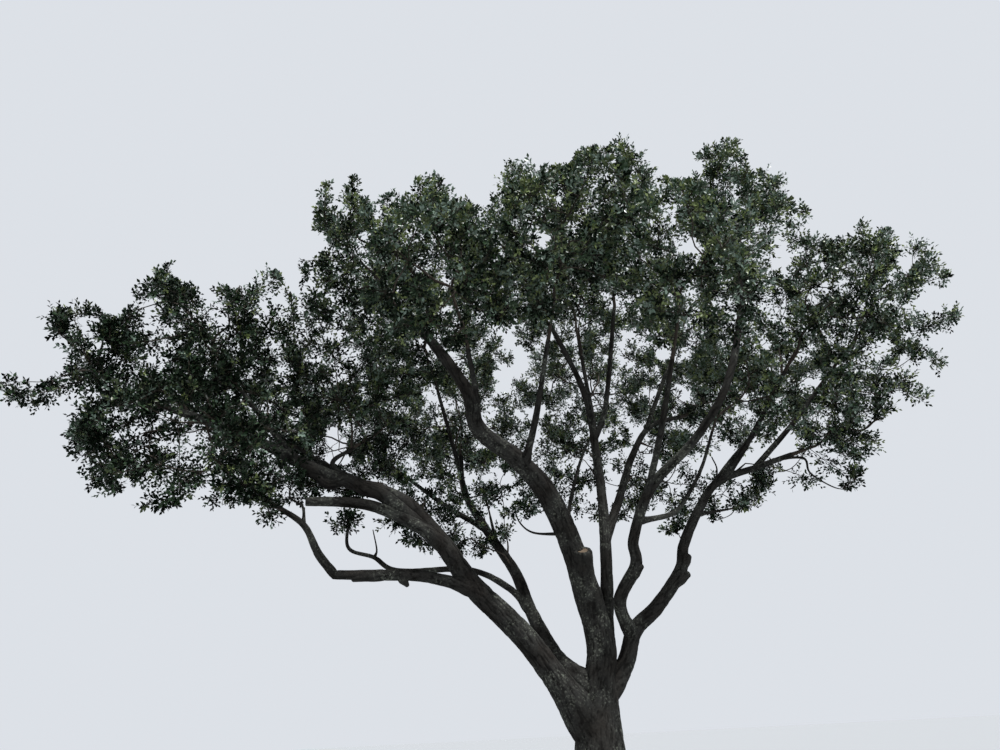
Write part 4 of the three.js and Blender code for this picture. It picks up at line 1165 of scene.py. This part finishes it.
def bark_material(name):
    """Grey-brown plates, their own colour made darker overall by painted shade, with furrows darkened partly
    by their own tone and partly by painted shade, paler patches, lichen, and sawn wood where it is marked.
    """
    made, shader = material(name, *BARK_FINISH)
    tree = made.node_tree
    attribute = tree.nodes.new("ShaderNodeAttribute")
    attribute.attribute_name = "relief"
    height = attribute.outputs["Fac"]
    patches, grain, spots = (noise_texture(tree, *look) for look in (PATCH_NOISE, GRAIN_NOISE, SPOT_NOISE))
    # the relief darkens the furrows, partly with painted shade
    colour = multiply(tree, ramp(tree, patches, BARK_PATCHES), ramp(tree, height, FURROW_PAINTED_SHADE))
    colour = multiply(tree, colour, ramp(tree, grain, GRAIN_SHADES))
    lichen = multiply(tree, ramp(tree, spots, LICHEN_SPOTS), ramp(tree, patches, LICHEN_PATCHES))
    colour = blend(tree, lichen, colour, LICHEN)
    cut = tree.nodes.new("ShaderNodeMath")
    cut.operation = "GREATER_THAN"
    cut.inputs[1].default_value = CUT_FROM
    tree.links.new(height, cut.inputs[0])
    tree.links.new(blend(tree, cut.outputs["Value"], colour, CUT_WOOD), shader.inputs["Base Color"])
    bump = tree.nodes.new("ShaderNodeBump")
    bump.inputs["Strength"].default_value, bump.inputs["Distance"].default_value = GRAIN_BUMP
    tree.links.new(grain, bump.inputs["Height"])
    tree.links.new(bump.outputs["Normal"], shader.inputs["Normal"])
    return made


# The tree

def settle(piece, replaced):
    """Puts a piece on the tree's one body, in place of the solids given."""
    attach(piece, "root")
    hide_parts(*replaced)


def make_limbs():
    """The trunk and boughs in one piece with the bark's relief."""
    bark = Mesh()
    for number, chain in enumerate(chains()):
        limb_mesh(bark, chain, number)
    piece = bark.build("trunk_and_boughs", bark_material("bark"), "relief")
    settle(piece, [limb[0] for limb in LIMBS])


def grow_crown():
    """Meshes of every space's twigs, of their twiglets, and of the leaves of each tint."""
    random = np.random.default_rng(CROWN_SEED)
    branches, fine = Mesh(), Mesh()
    tinted = {name: Mesh() for name in TINTS}
    grown = [grow_mass(Space(centre, reach, number), bough, seed)
             for number, (_, bough, seed, centre, reach) in enumerate(MASSES)]
    grown += [(Twigs(Space(centre, reach), bough, share), []) for bough, share, centre, reach in SHOOTS]
    for twigs, sprays in grown:
        fill_space(twigs, sprays, random)
        spires = raise_spires(twigs, sprays, random)
        twigs_mesh(branches, twigs)
        roots, tips = twiglets_of(twigs, sprays, spires, random)
        twiglets_mesh(fine, roots, tips)
        leaves = small_leaves(roots, tips, random)
        dealt = deal_tints(twigs.space, tips, random)
        for k, name in enumerate(TINTS):
            add_many(tinted[name], leaves[dealt == k].reshape(-1, 4, 3), BLADE_FACES)
    return branches, fine, tinted


def make_crown():
    """The crown's pieces, each in place of all the masses."""
    branches, fine, tinted = grow_crown()
    masses = [mass[0] for mass in MASSES]
    twig_look = plain_material("twig_bark", TWIG_COLOUR, *TWIG_FINISH)
    settle(branches.build("branchlets", twig_look), masses)
    settle(fine.build("twiglets", twig_look), masses)
    for name, (colour, gloss, *_) in TINTS.items():
        look = plain_material(name, colour, LEAF_ROUGHNESS, gloss)
        settle(tinted[name].build("leaves_" + name, look), masses)


# Floor, light and camera

def flat_floor():
    """A plain floor round the tree, as its stage."""
    half = FLOOR_SIDE / 2
    mesh = bpy.data.meshes.new("floor")
    corners = [(-half, -half, 0), (half, -half, 0), (half, half, 0), (-half, half, 0)]
    mesh.from_pydata(corners, [], [(0, 1, 2, 3)])
    mesh.materials.append(plain_material("floor", FLOOR_COLOUR, *FLOOR_FINISH))
    link("floor", mesh)


def light_scene():
    """A pale sky, and the lamps."""
    bpy.context.scene.view_settings.view_transform = "Standard"
    world = bpy.data.worlds.new("studio")
    world.use_nodes = True
    sky = world.node_tree.nodes["Background"]
    sky.inputs["Color"].default_value = (*SKY_COLOUR, 1)
    sky.inputs["Strength"].default_value = SKY_STRENGTH
    bpy.context.scene.world = world
    for name, toward, energy, softness in LAMPS:
        lamp = bpy.data.lights.new(name, "SUN")
        lamp.energy = energy
        lamp.angle = math.radians(softness)
        link(name, lamp).rotation_euler = Vector(toward).to_track_quat("-Z", "Y").to_euler()


def set_camera():
    """The photograph's camera: level, then tilted up and turned a little about its own line of sight."""
    camera = bpy.data.cameras.new("camera")
    camera.sensor_width = SENSOR
    camera.lens = FOCAL_PIXELS / PICTURE_PIXELS * SENSOR
    camera.clip_end = VIEW_RANGE
    right = Vector((1, 0, 0))
    up = Vector((0, -math.sin(PITCH), math.cos(PITCH)))
    turned_right = right * math.cos(ROLL) - up * math.sin(ROLL)
    turned_up = right * math.sin(ROLL) + up * math.cos(ROLL)
    axes = Matrix((turned_right, turned_up, turned_right.cross(turned_up))).transposed()
    holder = link("camera", camera)
    holder.matrix_world = Matrix.Translation(EYE) @ axes.to_4x4()
    bpy.context.scene.camera = holder


make_limbs()
make_crown()
flat_floor()
light_scene()
set_camera()
